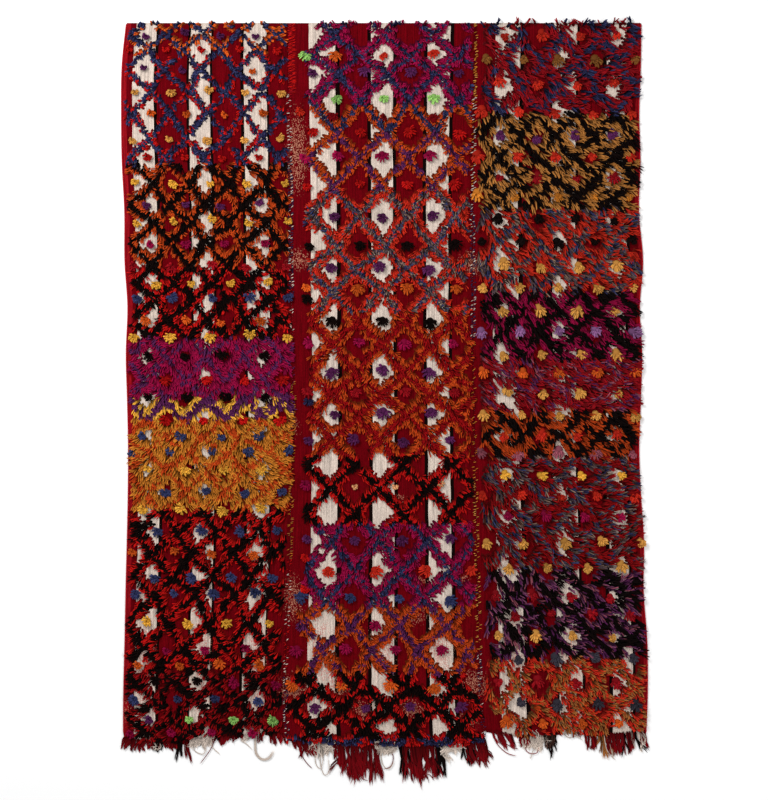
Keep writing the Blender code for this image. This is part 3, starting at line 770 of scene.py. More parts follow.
def tuft_pile(panel):
    """The tufts in the diamonds: groups of strands, and the mounds in the tufts' middles."""
    dice = np.random.default_rng(sub_seed("tufts", panel))
    down, across, size, dye = tuft_sites(panel)
    count = down.size
    left, right = panel_sides(panel, TOP_Y - down)
    share = across / (right - left)
    x = left + across + dice.normal(0, TUFT_STRAY, count)
    y = TOP_Y - down + dice.normal(0, TUFT_STRAY, count)
    size = size * dice.uniform(*TUFT_SIZES, count)
    band = band_values(panel, TOP_Y - y)
    lie = np.radians(band["lie_left"] + (band["lie_right"] - band["lie_left"]) * share)
    lie = 0.5 * (lie - 0.5 * math.pi) + dice.normal(0, 0.3, count)   # halfway to straight down
    shade = dice.normal(*TUFT_SHADES, count)
    spread = math.radians(TUFT_FAN[panel])
    length = size * np.interp(TOP_Y - y, (0, 1), TUFT_LENGTH[panel])
    set_back = TUFT_SET_BACK * math.sin(spread) / spread * length
    tufts = {"x": x - set_back * np.cos(lie), "y": y - set_back * np.sin(lie), "lie": lie,
             "length": length, "size": size, "shade": shade, "dye": dye.astype(int)}
    groups = [tuft_strands(strand, tufts, spread, dice) for strand in range(TUFT_STRANDS)]
    return groups, (tufts["x"], tufts["y"], 0.5 * length, TUFT_HEART * size, tufts["dye"],
                    shade_numbers(shade))


def pile_pieces(panel, material):
    """A panel's pile, in an upper and a lower piece."""
    middle_y = (TOP_Y + LOWER_EDGE[panel][0][1]) / 2
    made = []
    lattice, knots = lattice_pile(panel)
    tufts, hearts = tuft_pile(panel)
    for half in ("upper", "lower"):
        yarn = Yarn()
        # the mounds are painted dark as shade in the gaps between the strands
        for mounds, sides, shade in ((knots, 4, MOUND_PAINTED_SHADE), (hearts, 8, TUFT_ROOT_PAINTED_SHADE)):
            some = (mounds[1] > middle_y) == (half == "upper")
            yarn.add_mounds(*(values[some] for values in mounds), sides, shade)
        # strands are painted darker towards their roots, as shade deep in the pile
        for groups, root in ((lattice, ROOT_PAINTED_SHADE), (tufts, TUFT_ROOT_PAINTED_SHADE)):
            for paths, widths, dyes, shades, stops in groups:
                some = (paths[:, 0, 1] > middle_y) == (half == "upper")
                yarn.add(paths[some], widths[some], dyes[some], shades[some], stops, root=root)
        made.append(yarn.piece(f"pile_{panel}_{half}", material))
    return made


# The fringe, cluster by cluster: where its roots start and end (x), its strands, how far the
# longest and the outermost reach, where the crown is (0 start, 1 end), how far the tips lean to
# the right, how much the yarn curls (degrees), its width (mm) and its dyes.
FRINGE_COLUMNS = ("start", "end", "strands", "reach", "rim_reach", "crown", "lean", "curl",
                  "yarn", "dyes")
FRINGES = {
    "left": (
        (-0.821, -0.733, 110, 0.044, 0.030, 0.3, -0.012, 35, 3.8, "garnet darkred"),
        (-0.734, -0.700, 34, 0.038, 0.026, 0.4, 0.002, 50, 3.4, "black garnet"),
        (-0.728, -0.708, 14, 0.050, 0.034, 0.5, -0.004, 90, 2.8, "ivory"),
        (-0.700, -0.655, 44, 0.030, 0.020, 0.6, 0.004, 40, 3.8, "garnet darkred black"),
        (-0.652, -0.638, 14, 0.072, 0.050, 0.4, 0.000, 22, 3.4, "black darkred"),
        (-0.630, -0.618, 12, 0.070, 0.050, 0.6, 0.003, 22, 3.4, "darkred"),
        (-0.608, -0.538, 120, 0.046, 0.030, 0.4, -0.004, 190, 2.6, "ivory"),
        (-0.534, -0.490, 44, 0.034, 0.020, 0.3, 0.002, 45, 3.6, "garnet darkred"),
        (-0.490, -0.440, 26, 0.024, 0.012, 0.5, -0.010, 60, 3.2, "garnet darkred"),
        (-0.444, -0.414, 20, 0.032, 0.018, 0.5, -0.012, 120, 2.6, "ivory"),
        (-0.402, -0.382, 14, 0.036, 0.028, 0.5, -0.008, 30, 3.4, "darkred"),
        (-0.364, -0.342, 30, 0.042, 0.032, 0.4, 0.004, 30, 3.8, "garnet darkred"),
        (-0.340, -0.312, 28, 0.040, 0.028, 0.5, 0.010, 60, 3.4, "darkred crimson"),
    ),
    "middle": (
        (-0.296, -0.222, 90, 0.070, 0.036, 0.5, 0.034, 50, 3.8, "darkred garnet"),
        (-0.242, -0.164, 130, 0.064, 0.048, 0.5, 0.002, 190, 2.6, "ivory"),
        (-0.164, -0.152, 12, 0.058, 0.040, 0.5, 0.006, 30, 3.4, "black garnet"),
        (-0.158, -0.088, 130, 0.142, 0.056, 0.8, 0.012, 32, 3.8, "darkred garnet"),
        (-0.096, -0.018, 140, 0.126, 0.080, 0.75, 0.012, 32, 3.8, "darkred garnet"),
        (-0.026, 0.040, 110, 0.048, 0.036, 0.4, -0.002, 190, 2.6, "ivory"),
        (0.042, 0.070, 44, 0.112, 0.080, 0.6, 0.016, 30, 3.6, "black"),
        (0.058, 0.122, 120, 0.134, 0.096, 0.6, 0.004, 32, 3.8, "darkred garnet"),
        (0.118, 0.162, 84, 0.120, 0.080, 0.6, 0.012, 32, 3.8, "darkred garnet"),
        (0.160, 0.190, 50, 0.112, 0.080, 0.5, 0.004, 30, 3.6, "black"),
        (0.180, 0.244, 110, 0.040, 0.032, 0.4, 0.002, 180, 2.6, "ivory"),
        (0.192, 0.206, 8, 0.072, 0.050, 0.5, 0.004, 60, 2.6, "ivory"),
        (0.242, 0.270, 40, 0.078, 0.056, 0.6, 0.012, 30, 3.6, "black"),
        (0.254, 0.318, 120, 0.092, 0.066, 0.6, 0.018, 32, 3.8, "darkred garnet"),
    ),
    "right": (
        (0.338, 0.400, 64, 0.068, 0.046, 0.5, 0.040, 30, 3.4, "garnet crimson"),
        (0.424, 0.456, 40, 0.042, 0.030, 0.5, 0.002, 30, 3.6, "garnet darkred"),
        (0.448, 0.512, 110, 0.058, 0.044, 0.4, -0.002, 170, 2.6, "ivory"),
        (0.504, 0.544, 70, 0.050, 0.044, 0.5, 0.000, 40, 3.6, "black umber"),
        (0.508, 0.518, 10, 0.082, 0.070, 0.5, -0.002, 20, 3.2, "black"),
        (0.524, 0.534, 10, 0.082, 0.070, 0.5, 0.006, 20, 3.2, "black"),
        (0.550, 0.626, 16, 0.022, 0.012, 0.5, 0.010, 60, 2.8, "darkred garnet"),
        (0.628, 0.668, 60, 0.060, 0.044, 0.6, 0.010, 28, 3.6, "darkred garnet"),
        (0.672, 0.704, 34, 0.084, 0.040, 0.7, 0.016, 40, 2.8, "ivory tan"),
        (0.698, 0.750, 90, 0.076, 0.056, 0.6, 0.006, 28, 3.8, "darkred garnet"),
        (0.746, 0.770, 34, 0.076, 0.056, 0.6, 0.004, 28, 3.6, "black garnet"),
        (0.762, 0.786, 34, 0.074, 0.050, 0.6, 0.008, 28, 3.8, "darkred"),
        (0.772, 0.812, 44, 0.078, 0.056, 0.5, 0.022, 28, 3.4, "black ivory"),
        (0.806, 0.822, 20, 0.060, 0.044, 0.5, 0.004, 28, 3.6, "darkred"),
    ),
}
# Loose ends that lie across the others: a dye and the points that each runs through (x, y).
LOOSE_ENDS = {
    "left": (
        ("ivory", (-0.404, -1.030), (-0.407, -1.080), (-0.404, -1.110), (-0.386, -1.128),
         (-0.364, -1.124), (-0.348, -1.100)),
        ("ivory", (-0.407, -1.032), (-0.409, -1.080), (-0.406, -1.112), (-0.387, -1.130),
         (-0.362, -1.126), (-0.345, -1.101)),
        ("ivory", (-0.402, -1.034), (-0.405, -1.080), (-0.402, -1.108), (-0.385, -1.126),
         (-0.365, -1.122), (-0.350, -1.098)),
        ("ivory", (-0.418, -1.028), (-0.436, -1.052), (-0.452, -1.068), (-0.436, -1.078),
         (-0.414, -1.100)),
        ("ivory", (-0.556, -1.066), (-0.540, -1.092), (-0.518, -1.112)),
        ("darkred", (-0.534, -1.066), (-0.550, -1.100), (-0.582, -1.144)),
        ("ivory", (-0.590, -1.070), (-0.600, -1.098), (-0.572, -1.112), (-0.560, -1.090)),
    ),
    "middle": (
        ("darkred", (-0.266, -1.068), (-0.262, -1.110), (-0.246, -1.138), (-0.226, -1.158)),
        ("ivory", (-0.204, -1.080), (-0.202, -1.140), (-0.190, -1.177), (-0.174, -1.166),
         (-0.178, -1.120)),
        ("ivory", (-0.220, -1.090), (-0.216, -1.142), (-0.200, -1.156), (-0.192, -1.120)),
        ("garnet", (-0.112, -1.130), (-0.082, -1.168), (-0.052, -1.150), (-0.030, -1.172)),
        ("darkred", (-0.060, -1.120), (-0.084, -1.150), (-0.072, -1.186), (-0.050, -1.196)),
        ("ivory", (-0.014, -1.086), (-0.006, -1.142), (0.014, -1.158), (0.032, -1.134)),
        ("darkred", (0.012, -1.080), (0.028, -1.120), (0.020, -1.150), (-0.004, -1.160)),
        ("garnet", (0.084, -1.160), (0.112, -1.190), (0.140, -1.176), (0.158, -1.196)),
    ),
    "right": (
        ("crimson", (0.340, -1.044), (0.356, -1.080), (0.386, -1.108), (0.418, -1.118)),
        ("darkred", (0.356, -1.046), (0.374, -1.072), (0.404, -1.090), (0.424, -1.096)),
        ("crimson", (0.446, -1.070), (0.446, -1.098), (0.462, -1.110), (0.482, -1.107),
         (0.488, -1.084)),
        ("ivory", (0.476, -1.080), (0.466, -1.112), (0.460, -1.128)),
        ("ivory", (0.692, -1.048), (0.700, -1.094), (0.714, -1.116), (0.730, -1.131)),
        ("ivory", (0.562, -1.046), (0.584, -1.060), (0.606, -1.056), (0.626, -1.068)),
    ),
}
FRINGE_STEPS = 9
FRINGE_TAPER_STOPS = (0, 0.2, 0.85, 1)
FRINGE_TAPER = (0.9, 1, 0.8, 0)
CLUMP_STRANDS = 6        # strands that twist together
CLUMP_NARROWS = 0.6      # how much closer together their tips are than their roots, as a share
CLUMP_AIM = 0.1          # how far clumps stray from their cluster's lean, in radians
CURL_WAVES = 3           # waves along a strand that make up its curl
CURL_PACE = 2.6          # radians that the first of them runs through
LOOSE_CURL = 0.25        # a strand's own curl, as a share of its clump's
FRINGE_HEAP = 4.5 * MM   # how thick the strands lie over each other
LOOSE_STEPS = 14
LOOSE_WIDTH = 2.8 * MM
LOOSE_RISE = 3 * MM      # how high their tips lie on the other strands
FLOOR_CLEARANCE = 1.4 * MM


def curling(cluster, clump, clumps, s, dice):
    """How far each strand points from straight down, in radians, at the shares s of it."""
    curl = math.radians(cluster["curl"])
    aim = np.arctan2(cluster["lean"], cluster["reach"]) + dice.normal(0, CLUMP_AIM, clumps)
    waves = dice.normal(0, curl, (CURL_WAVES, clumps))[:, clump]
    waves = waves + dice.normal(0, LOOSE_CURL * curl, (CURL_WAVES, clump.size))
    return aim[clump][:, None] + 0.5 * sum(
        wave[:, None] * np.sin((k + 1) * CURL_PACE * s + k) * s for k, wave in enumerate(waves))


def fringe_cluster(panel, cluster, dice):
    """The strands of one cluster, whose roots are under the panel's lower edge."""
    s = np.linspace(0, 1, FRINGE_STEPS)[None]
    count = cluster["strands"]
    clumps = max(1, round(count / CLUMP_STRANDS))
    clump = np.arange(count) * clumps // count
    share = (np.arange(clumps) + dice.uniform(0.2, 0.8, clumps)) / clumps
    crown = cluster["crown"]
    ease = np.cos(np.abs(share - crown) / max(crown, 1 - crown) * math.pi / 2)
    reach = cluster["rim_reach"] + ease * (cluster["reach"] - cluster["rim_reach"])
    reach = (reach * dice.uniform(0.8, 1.05, clumps))[clump] * dice.uniform(0.85, 1.05, count)
    turn = curling(cluster, clump, clumps, s, dice)
    stride = reach[:, None] / (FRINGE_STEPS - 1)
    span = cluster["end"] - cluster["start"]
    beside = dice.uniform(-0.55, 0.55, count) / clumps * span
    root_x = cluster["start"] + share[clump] * span
    root_y = cloth_end(panel, root_x + beside) + STRIP_WIDTH + dice.uniform(-3, 4, count) * MM
    x = root_x[:, None] + beside[:, None] * (1 - CLUMP_NARROWS * s ** 2)
    x = x + totals_from_zero(np.sin(turn[:, 1:]) * stride)
    y = root_y[:, None] - totals_from_zero(np.cos(turn[:, 1:]) * stride)
    lying = FLOOR_CLEARANCE + dice.uniform(0, FRINGE_HEAP, (count, 1))
    root_z = (GROUND_TOP + dice.uniform(-1.5, 0.5, count) * MM)[:, None]
    z = root_z * (1 - s) ** 2 + lying * (1 - (1 - s) ** 2)
    taper = np.interp(s[0], FRINGE_TAPER_STOPS, FRINGE_TAPER)
    widths = cluster["yarn"] * MM * dice.uniform(0.75, 1.15, count)[:, None] * taper
    dyes = np.array([DYE_NUMBER[dye] for dye in cluster["dyes"].split()])
    dye = dyes[dice.integers(0, len(dyes), clumps)][clump]
    shade = dice.integers(2, SHADES - 2, clumps)[clump] + dice.integers(-2, 3, count)
    return np.stack([x, y, z], axis=2), widths, dye, shade, s[0]


def fringe_piece(panel, material):
    """The warp ends below a panel, lying on the floor in clumps that curl as one."""
    dice = np.random.default_rng(sub_seed("fringe", panel))
    yarn = Yarn()
    for row in FRINGES[panel]:
        cluster = dict(zip(FRINGE_COLUMNS, row))
        # dark near the cloth as painted shade; the tips lighter by their own tone and a painted
        # highlight
        yarn.add(*fringe_cluster(panel, cluster, dice), root=0.3, tip=1.3)
    for dye, *points in LOOSE_ENDS[panel]:
        z = np.linspace(GROUND_TOP, FLOOR_CLEARANCE + LOOSE_RISE, LOOSE_STEPS)[:, None]
        path = np.concatenate([thread_path(points, LOOSE_STEPS), z], axis=1)[None]
        along = np.linspace(0, 1, LOOSE_STEPS)
        widths = LOOSE_WIDTH * np.interp(along, (0, 0.9, 1), (1, 0.9, 0))[None]
        shade = np.array([SHADES // 2])
        # a little darker at the root: painted shade
        yarn.add(path, widths, np.array([DYE_NUMBER[dye]]), shade, along, root=0.8, tip=1.0)
    return yarn.piece("fringe_ends_" + panel, material)


def thread_path(points, steps):
    """Evenly spaced places on a smooth curve through the points."""
    points = np.array(points)
    t = np.arange(len(points))
    want = np.linspace(0, len(points) - 1, steps)
    return np.stack([curve_through(np.stack([t, points[:, k]], axis=1), want) for k in (0, 1)], 1)


# Hand sewing of the seams: where each stretch starts (cm down), its two yarns, the stitches'
# spacing and length, where their two columns stand beside the seam (all mm) and the share of
# stitches that is left.
SEWING_COLUMNS = ("down", "yarn", "other", "spacing", "length", "first", "second", "kept")
SEWING = {
    "left_seam": (
        (0, "red", "crimson", 1.5, 15, 7, 18, 1.0),
        (22, "crimson", "ivory", 2.6, 9, -3, 6, 0.85),
        (42, "navy", "ivory", 2.8, 8, -5, 4, 0.85),
        (86, "crimson", "ivory", 3.4, 7, -5, 4, 0.8),
        (104, "purple", "darkred", 4.0, 8, -5, 5, 0.8),
        (113, "ochre", "tan", 5.5, 9, -5, 5, 0.8),
        (169, "red", "ivory", 4.5, 8, -5, 4, 0.8),
        (206, "navy", "ivory", 3.2, 7, -5, 4, 0.85),
    ),
    "right_seam": (
        (0, "ochre", "gold", 4.5, 10, -2, 2, 0.75),
        (23, "ivory", "ochre", 4.5, 9, -4, 4, 0.8),
        (56, "navy", "ivory", 2.8, 7, -5, 4, 0.9),
        (100, "ochre", "red", 6.5, 9, -4, 4, 0.6),
        (144, "gold", "ochre", 5.5, 9, -5, 5, 0.75),
        (198, "navy", "ivory", 3.6, 7, -5, 4, 0.8),
    ),
}
SEAM_END = -1.06         # Y of the seams' lower end
SEAM_WANDER = 2 * MM     # how far the stitches' columns wander
STITCH_STOPS = (0, 0.3, 0.7, 1)
STITCH_HEIGHTS = (-0.8 * MM, 2 * MM, 2 * MM, -0.8 * MM)  # over the cloth, at these stops
STITCH_TAPER = (0.8, 1, 1, 0.4)
STITCH_WIDTH = 2.2 * MM
STITCH_SIZES = (0.7, 1.2)  # least and most, as a share of the stretch's length of stitch
STITCH_SLANT = (1.4, 1.2)  # how far its end is up from its middle (mm): mean and spread
FIRST_YARN = 0.68        # the share of stitches in the first of a stretch's two yarns


def stitches(seam, row, end, dice):
    """The stitches of one stretch of a seam, which ends so many cm down."""
    down = np.arange(row["down"] * CM + 2 * MM, end * CM, row["spacing"] * MM)
    down = down[dice.random(down.size) < row["kept"]]
    count = down.size
    y = TOP_Y - (down + dice.normal(0, 0.9 * MM, count))
    beside = np.where(dice.random(count) < 0.5, row["first"], row["second"]) * MM
    x = side_x(seam, y) + beside + SEAM_WANDER * drift(0 * y, y, 25 * MM, seed=5)
    half = 0.5 * row["length"] * MM * dice.uniform(*STITCH_SIZES, count)
    slant = dice.normal(*STITCH_SLANT, count) * MM
    across = (2 * np.array(STITCH_STOPS) - 1)[None]
    px = x[:, None] + half[:, None] * across + dice.normal(0, 0.8 * MM, (count, 1))
    py = y[:, None] + slant[:, None] * across
    pz = ground_height(px, py) + np.array(STITCH_HEIGHTS)[None]
    first = dice.random(count) < FIRST_YARN
    dye = np.where(first, DYE_NUMBER[row["yarn"]], DYE_NUMBER[row["other"]])
    widths = STITCH_WIDTH * np.array(STITCH_TAPER)[None] * np.ones((count, 1))
    shade = dice.integers(3, SHADES, count)
    return np.stack([px, py, pz], axis=2), widths, dye, shade, STITCH_STOPS


def sewing_piece(seam, material):
    """The stitches along a seam, in two uneven columns."""
    dice = np.random.default_rng(sub_seed("sewing", seam))
    rows = [dict(zip(SEWING_COLUMNS, row)) for row in SEWING[seam]]
    ends = [row["down"] for row in rows[1:]] + [(TOP_Y - SEAM_END) / CM]
    yarn = Yarn()
    for row, end in zip(rows, ends):
        # each stitch darker at both ends, where it goes into the cloth: painted shade
        yarn.add(*stitches(seam, row, end, dice), root=0.7, tip=0.7)
    return yarn.piece("sewing_" + seam, material)


SELVEDGE_ENDS = (TOP_Y - 4 * MM, -1.055)  # Y
SELVEDGE_STEPS = 160
SELVEDGE_WIDTH = 5 * MM
SELVEDGE_HEIGHT = 2.6 * MM  # of its middle


def selvedge_piece(side, material):
    """The corded edge of the rug's outer side."""
    y = np.linspace(*SELVEDGE_ENDS, SELVEDGE_STEPS)
    path = np.stack([side_x(side, y), y, np.full(y.size, SELVEDGE_HEIGHT)], axis=1)[None]
    widths = np.full((1, y.size), SELVEDGE_WIDTH)
    dye, shade = np.array([DYE_NUMBER["crimson"]]), np.array([SHADES // 2])
    yarn = Yarn()
    yarn.add(path, widths, dye, shade, np.linspace(0, 1, y.size), closed=True, root=1.0, tip=1.0)
    return yarn.piece("selvedge_" + side, material)


def node(tree, kind, links=(), **values):
    """A shader node with its inputs set: numbers go in, sockets are linked."""
    made = tree.nodes.new(kind)
    for key, value in values.items():
        setattr(made, key, value)
    for name, value in dict(links).items():
        if isinstance(value, bpy.types.NodeSocket):
            tree.links.new(value, made.inputs[name])
        else:
            made.inputs[name].default_value = value
    return made


def new_material(name):
    material = bpy.data.materials.new(name)
    material.use_nodes = True
    return material, material.node_tree, material.node_tree.nodes["Principled BSDF"]


def wool_material(name, roughness):
    """Spun wool: the colour attribute's dye with its painted shade and highlight, mottled along its
    fibres, with a fine hairy bump.
    """
    material, tree, shader = new_material(name)
    place = node(tree, "ShaderNodeTexCoord").outputs["Object"]
    dye = node(tree, "ShaderNodeAttribute", attribute_name="dye").outputs["Color"]
    fibres = node(tree, "ShaderNodeTexNoise", {"Vector": place, "Scale": 900.0, "Detail": 3.0})
    mottle = node(tree, "ShaderNodeMapRange",
                  {"Value": fibres.outputs[0], "To Min": 0.82, "To Max": 1.18})
    colour = node(tree, "ShaderNodeHueSaturation",
                  {"Value": mottle.outputs[0], "Color": dye})
    tree.links.new(colour.outputs[0], shader.inputs["Base Color"])
    bump = node(tree, "ShaderNodeBump",
                {"Height": fibres.outputs[0], "Strength": 0.5, "Distance": 0.0006})
    tree.links.new(bump.outputs[0], shader.inputs["Normal"])
    shader.inputs["Roughness"].default_value = roughness
    shader.inputs["Specular IOR Level"].default_value = 0.03
    return material


STRIPE_STRAY = 6 * MM    # how far a stripe's border strays
THREAD_PITCH = 1.6 * MM
THREAD_FLOAT = 4.8 * MM  # a warp thread's length over the weft, between two dips
THREAD_GAP = 0.22 * MM
THREAD_TONES = (0.72, 1.12)  # the darkest and the lightest threads
GAP_TONE = 0.42
FLECK_SIZE = (1.9 * MM, 3.0 * MM, 1.0)


def grey(tone):
    return (tone, tone, tone, 1.0)


def stripe_ramp(tree, share, stops):
    """Colours of stripes with hard borders: the shares across where each starts, and its dye."""
    made = node(tree, "ShaderNodeValToRGB", {0: share})
    ramp = made.color_ramp
    ramp.interpolation = "CONSTANT"
    ramp.elements[0].position = 0.0
    while len(ramp.elements) > 1:
        ramp.elements.remove(ramp.elements[-1])
    for k, (position, dye) in enumerate(stops):
        element = ramp.elements[0] if k == 0 else ramp.elements.new(position)
        element.color = (*linear(dye), 1.0)
    return made.outputs[0]


def stripe_colours(tree, place, panel, width):
    """Colours of a panel's warp and weft, stripe by stripe, whose borders waver."""
    wander = node(tree, "ShaderNodeTexNoise", {"Vector": place, "Scale": 14.0, "Detail": 4.0})
    nudge = node(tree, "ShaderNodeVectorMath",
                 {0: wander.outputs["Color"], 1: (0.5, 0.5, 0.5)}, operation="SUBTRACT")
    small = node(tree, "ShaderNodeVectorMath",
                 {0: nudge.outputs[0], 1: (STRIPE_STRAY, 0.0, 0.0)}, operation="MULTIPLY")
    moved = node(tree, "ShaderNodeVectorMath", {0: place, 1: small.outputs[0]}, operation="ADD")
    across = node(tree, "ShaderNodeSeparateXYZ", {0: moved.outputs[0]}).outputs[0]
    share = node(tree, "ShaderNodeMath", {0: across, 1: width}, operation="DIVIDE").outputs[0]
    warp = [(start * CM / width, dye) for start, dye in STRIPES[panel]]
    weft = [(start, "red" if dye == "ivory" else "heather") for start, dye in warp]
    return stripe_ramp(tree, share, warp), stripe_ramp(tree, share, weft)


def warp_threads(tree, place, warp):
    """The warp's colour with a tone for each thread and streaks along it, and the threads."""
    turned = node(tree, "ShaderNodeMapping",
                  {"Vector": place, "Rotation": (0.0, 0.0, math.pi / 2)})
    threads = node(tree, "ShaderNodeTexBrick",
                   {"Vector": turned.outputs[0], "Color1": grey(THREAD_TONES[0]),
                    "Color2": grey(THREAD_TONES[1]), "Mortar": grey(GAP_TONE), "Scale": 1.0,
                    "Mortar Size": THREAD_GAP, "Mortar Smooth": 0.6,
                    "Brick Width": THREAD_FLOAT, "Row Height": THREAD_PITCH}, offset=0.5)
    streaks = node(tree, "ShaderNodeMapping", {"Vector": place, "Scale": (260.0, 9.0, 1.0)})
    streak = node(tree, "ShaderNodeTexNoise",
                  {"Vector": streaks.outputs[0], "Scale": 1.0, "Detail": 3.0})
    tone = node(tree, "ShaderNodeMapRange",
                {"Value": streak.outputs[0], "From Min": 0.3, "From Max": 0.7,
                 "To Min": 0.62, "To Max": 1.25})
    woven = node(tree, "ShaderNodeMix", {0: 1.0, 6: warp, 7: threads.outputs[0]},
                 data_type="RGBA", blend_type="MULTIPLY")
    toned = node(tree, "ShaderNodeHueSaturation",
                 {"Value": tone.outputs[0], "Color": woven.outputs[2]})
    return toned.outputs[0], threads.outputs[0]


def weft_showing(tree, place):
    """How much of the weft shows: single flecks, and more of them where the cloth is worn."""
    flecks = node(tree, "ShaderNodeVectorMath", {0: place, 1: FLECK_SIZE}, operation="SNAP")
    fleck = node(tree, "ShaderNodeTexWhiteNoise", {"Vector": flecks.outputs[0]})
    worn = node(tree, "ShaderNodeAttribute", attribute_name="wear").outputs["Fac"]
    level = node(tree, "ShaderNodeMath", {0: fleck.outputs[0], 1: worn}, operation="ADD")
    showing = node(tree, "ShaderNodeMapRange", {"Value": level.outputs[0], "From Min": 1.0,
                                                "From Max": 1.15, "To Max": 0.55})
    return showing.outputs[0]


def ground_material(panel, width):
    """Warp-faced plain weave in stripes, with thread-to-thread tone, weft flecks and worn spots."""
    material, tree, shader = new_material("weave_" + panel)
    place = node(tree, "ShaderNodeUVMap", uv_map="cloth").outputs[0]
    warp, weft = stripe_colours(tree, place, panel, width)
    woven, threads = warp_threads(tree, place, warp)
    base = node(tree, "ShaderNodeMix", {0: weft_showing(tree, place), 6: woven, 7: weft},
                data_type="RGBA")
    tree.links.new(base.outputs[2], shader.inputs["Base Color"])
    bump = node(tree, "ShaderNodeBump", {"Height": threads, "Strength": 0.6, "Distance": 0.0008})
    tree.links.new(bump.outputs[0], shader.inputs["Normal"])
    shader.inputs["Roughness"].default_value = 0.9
    shader.inputs["Specular IOR Level"].default_value = 0.02
    return material


def ground_piece(panel):
    """A panel's woven ground: a thin closed sheet with its stripes' coordinates."""
    middle = (TOP_Y + LOWER_EDGE[panel][0][1]) / 2
    left, right = panel_sides(panel, middle)
    width = float(right - left)
    length = TOP_Y - LOWER_EDGE[panel][0][1]
    columns, rows = round(width / GROUND_STEP), round(length / GROUND_STEP)
    u, v = np.meshgrid(np.linspace(0, 1, columns + 1), np.linspace(0, 1, rows + 1))
    u, v = u.ravel(), v.ravel()
    y = np.full(u.size, middle)
    for _ in range(FIT_ROUNDS):
        left, right = panel_sides(panel, y)
        x = left + u * (right - left)
        end = cloth_end(panel, x)
        y = TOP_Y - v * (TOP_Y - end)
    top = ground_height(x, y)
    rim = (u == 0) | (u == 1) | (v == 0) | (v == 1)
    top = np.where(rim, top - RIM_DROP, top)
    bottom = np.maximum(top - GROUND_THICK, LEAST_BOTTOM)
    upper = np.stack([x, y, top], axis=1)
    lower = np.stack([x, y, bottom], axis=1)
    triangles = sheet_triangles(columns + 1, rows + 1)
    piece = mesh_piece("ground_" + panel, np.concatenate([upper, lower]), triangles,
                       ground_material(panel, width))
    across = np.tile(u * width, 2)
    set_map(piece, "cloth", np.stack([across, np.tile(TOP_Y - y, 2)], axis=1))
    wear = piece.data.attributes.new("wear", "FLOAT", "POINT")
    wear.data.foreach_set("value", np.tile(worn_at(x, y), 2).astype(np.float32))
    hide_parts("panel_" + panel)
    return piece, (width, float(length))


def worn_at(x, y):
    """The share of the weft's flecks that show at a place."""
    wear = np.zeros_like(x)
    for cx, cy, rx, ry in WEAR_SPOTS:
        away = np.hypot((x / CM - cx) / rx, (y / CM - cy) / ry)
        wear = np.maximum(wear, np.clip(1.4 - away, 0, 1) * MOST_WORN)
    return wear


def sheet_triangles(columns, rows):
    """Triangles of a closed sheet whose upper points come first, row by row, then its lower."""
    grid = np.arange(columns * rows).reshape(rows, columns)
    a, b, c, d = grid[:-1, :-1], grid[:-1, 1:], grid[1:, 1:], grid[1:, :-1]
    upper = np.concatenate([np.stack([a, d, c], -1), np.stack([a, c, b], -1)]).reshape(-1, 3)
    lower = upper[:, ::-1] + columns * rows
    rim = np.concatenate([grid[0, :], grid[1:, -1], grid[-1, -2::-1], grid[-2:0:-1, 0]])
    after = np.roll(rim, -1)
    under = columns * rows
    walls = np.concatenate([np.stack([rim, after, after + under], -1),
                            np.stack([rim, after + under, rim + under], -1)])
    return np.concatenate([upper, lower, walls])


FLOOR_SIZE = 14.0
FLOOR_Z = -0.4 * MM      # just under the rug
LIGHTS = (("key", (-2.4, 2.6, 3.2), 2.0, 190), ("fill", (2.8, -1.0, 3.4), 3.0, 60))
CAMERA_PLACE = (-0.001, 0.005, 7.0)
PICTURE_HEIGHT = 2.524   # how much of the floor the picture shows, from its top to its bottom


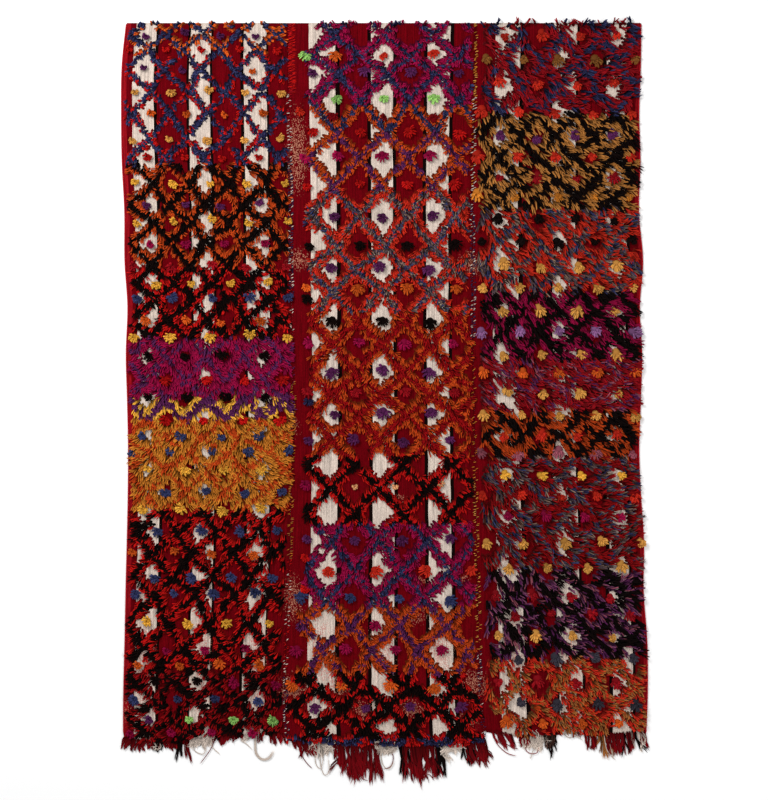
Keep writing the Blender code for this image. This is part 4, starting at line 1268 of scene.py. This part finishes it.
def make_stage():
    """A pale floor, a large soft light from the upper left and an even fill."""
    bpy.ops.mesh.primitive_plane_add(size=FLOOR_SIZE, location=(0, 0, FLOOR_Z))
    floor = bpy.context.object
    floor.name = "floor"
    material, tree, shader = new_material("floor_paint")
    shader.inputs["Base Color"].default_value = (0.95, 0.95, 0.95, 1)
    shader.inputs["Roughness"].default_value = 0.7
    shader.inputs["Specular IOR Level"].default_value = 0.2
    floor.data.materials.append(material)
    world = bpy.data.worlds.new("studio")
    world.use_nodes = True
    background = world.node_tree.nodes["Background"]
    background.inputs["Color"].default_value = (1, 1, 1, 1)
    background.inputs["Strength"].default_value = 0.5
    bpy.context.scene.world = world
    for name, place, size, power in LIGHTS:
        light = bpy.data.lights.new(name, "AREA")
        light.shape = "DISK"
        light.size, light.energy = size, power
        lamp = bpy.data.objects.new(name, light)
        lamp.location = place
        lamp.rotation_euler = (-Vector(place)).to_track_quat("-Z", "Y").to_euler()
        bpy.context.scene.collection.objects.link(lamp)


def make_camera():
    """Straight above the rug with a long lens, the rug's top edge at the picture's top."""
    data = bpy.data.cameras.new("camera")
    camera = bpy.data.objects.new("camera", data)
    bpy.context.scene.collection.objects.link(camera)
    data.lens = data.sensor_width * CAMERA_PLACE[2] / PICTURE_HEIGHT
    data.clip_end = 30.0
    camera.location = CAMERA_PLACE
    bpy.context.scene.camera = camera


def main():
    short_wool = wool_material("short_wool", 0.8)
    long_wool = wool_material("long_wool", 0.6)
    ends_wool = wool_material("warp_ends", 0.75)
    seam_wool = wool_material("seam_wool", 0.8)
    for panel in ("left", "middle", "right"):
        ground, flat = ground_piece(panel)
        pile = pile_pieces(panel, long_wool if panel == "right" else short_wool)
        fringe = fringe_piece(panel, ends_wool)
        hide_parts("fringe_" + panel)
    for seam in SEWING:
        sewing_piece(seam, seam_wool)
    for side in ("left_edge", "right_edge"):
        selvedge_piece(side, seam_wool)
    make_stage()
    make_camera()
    bpy.context.scene.view_settings.view_transform = "Standard"


main()
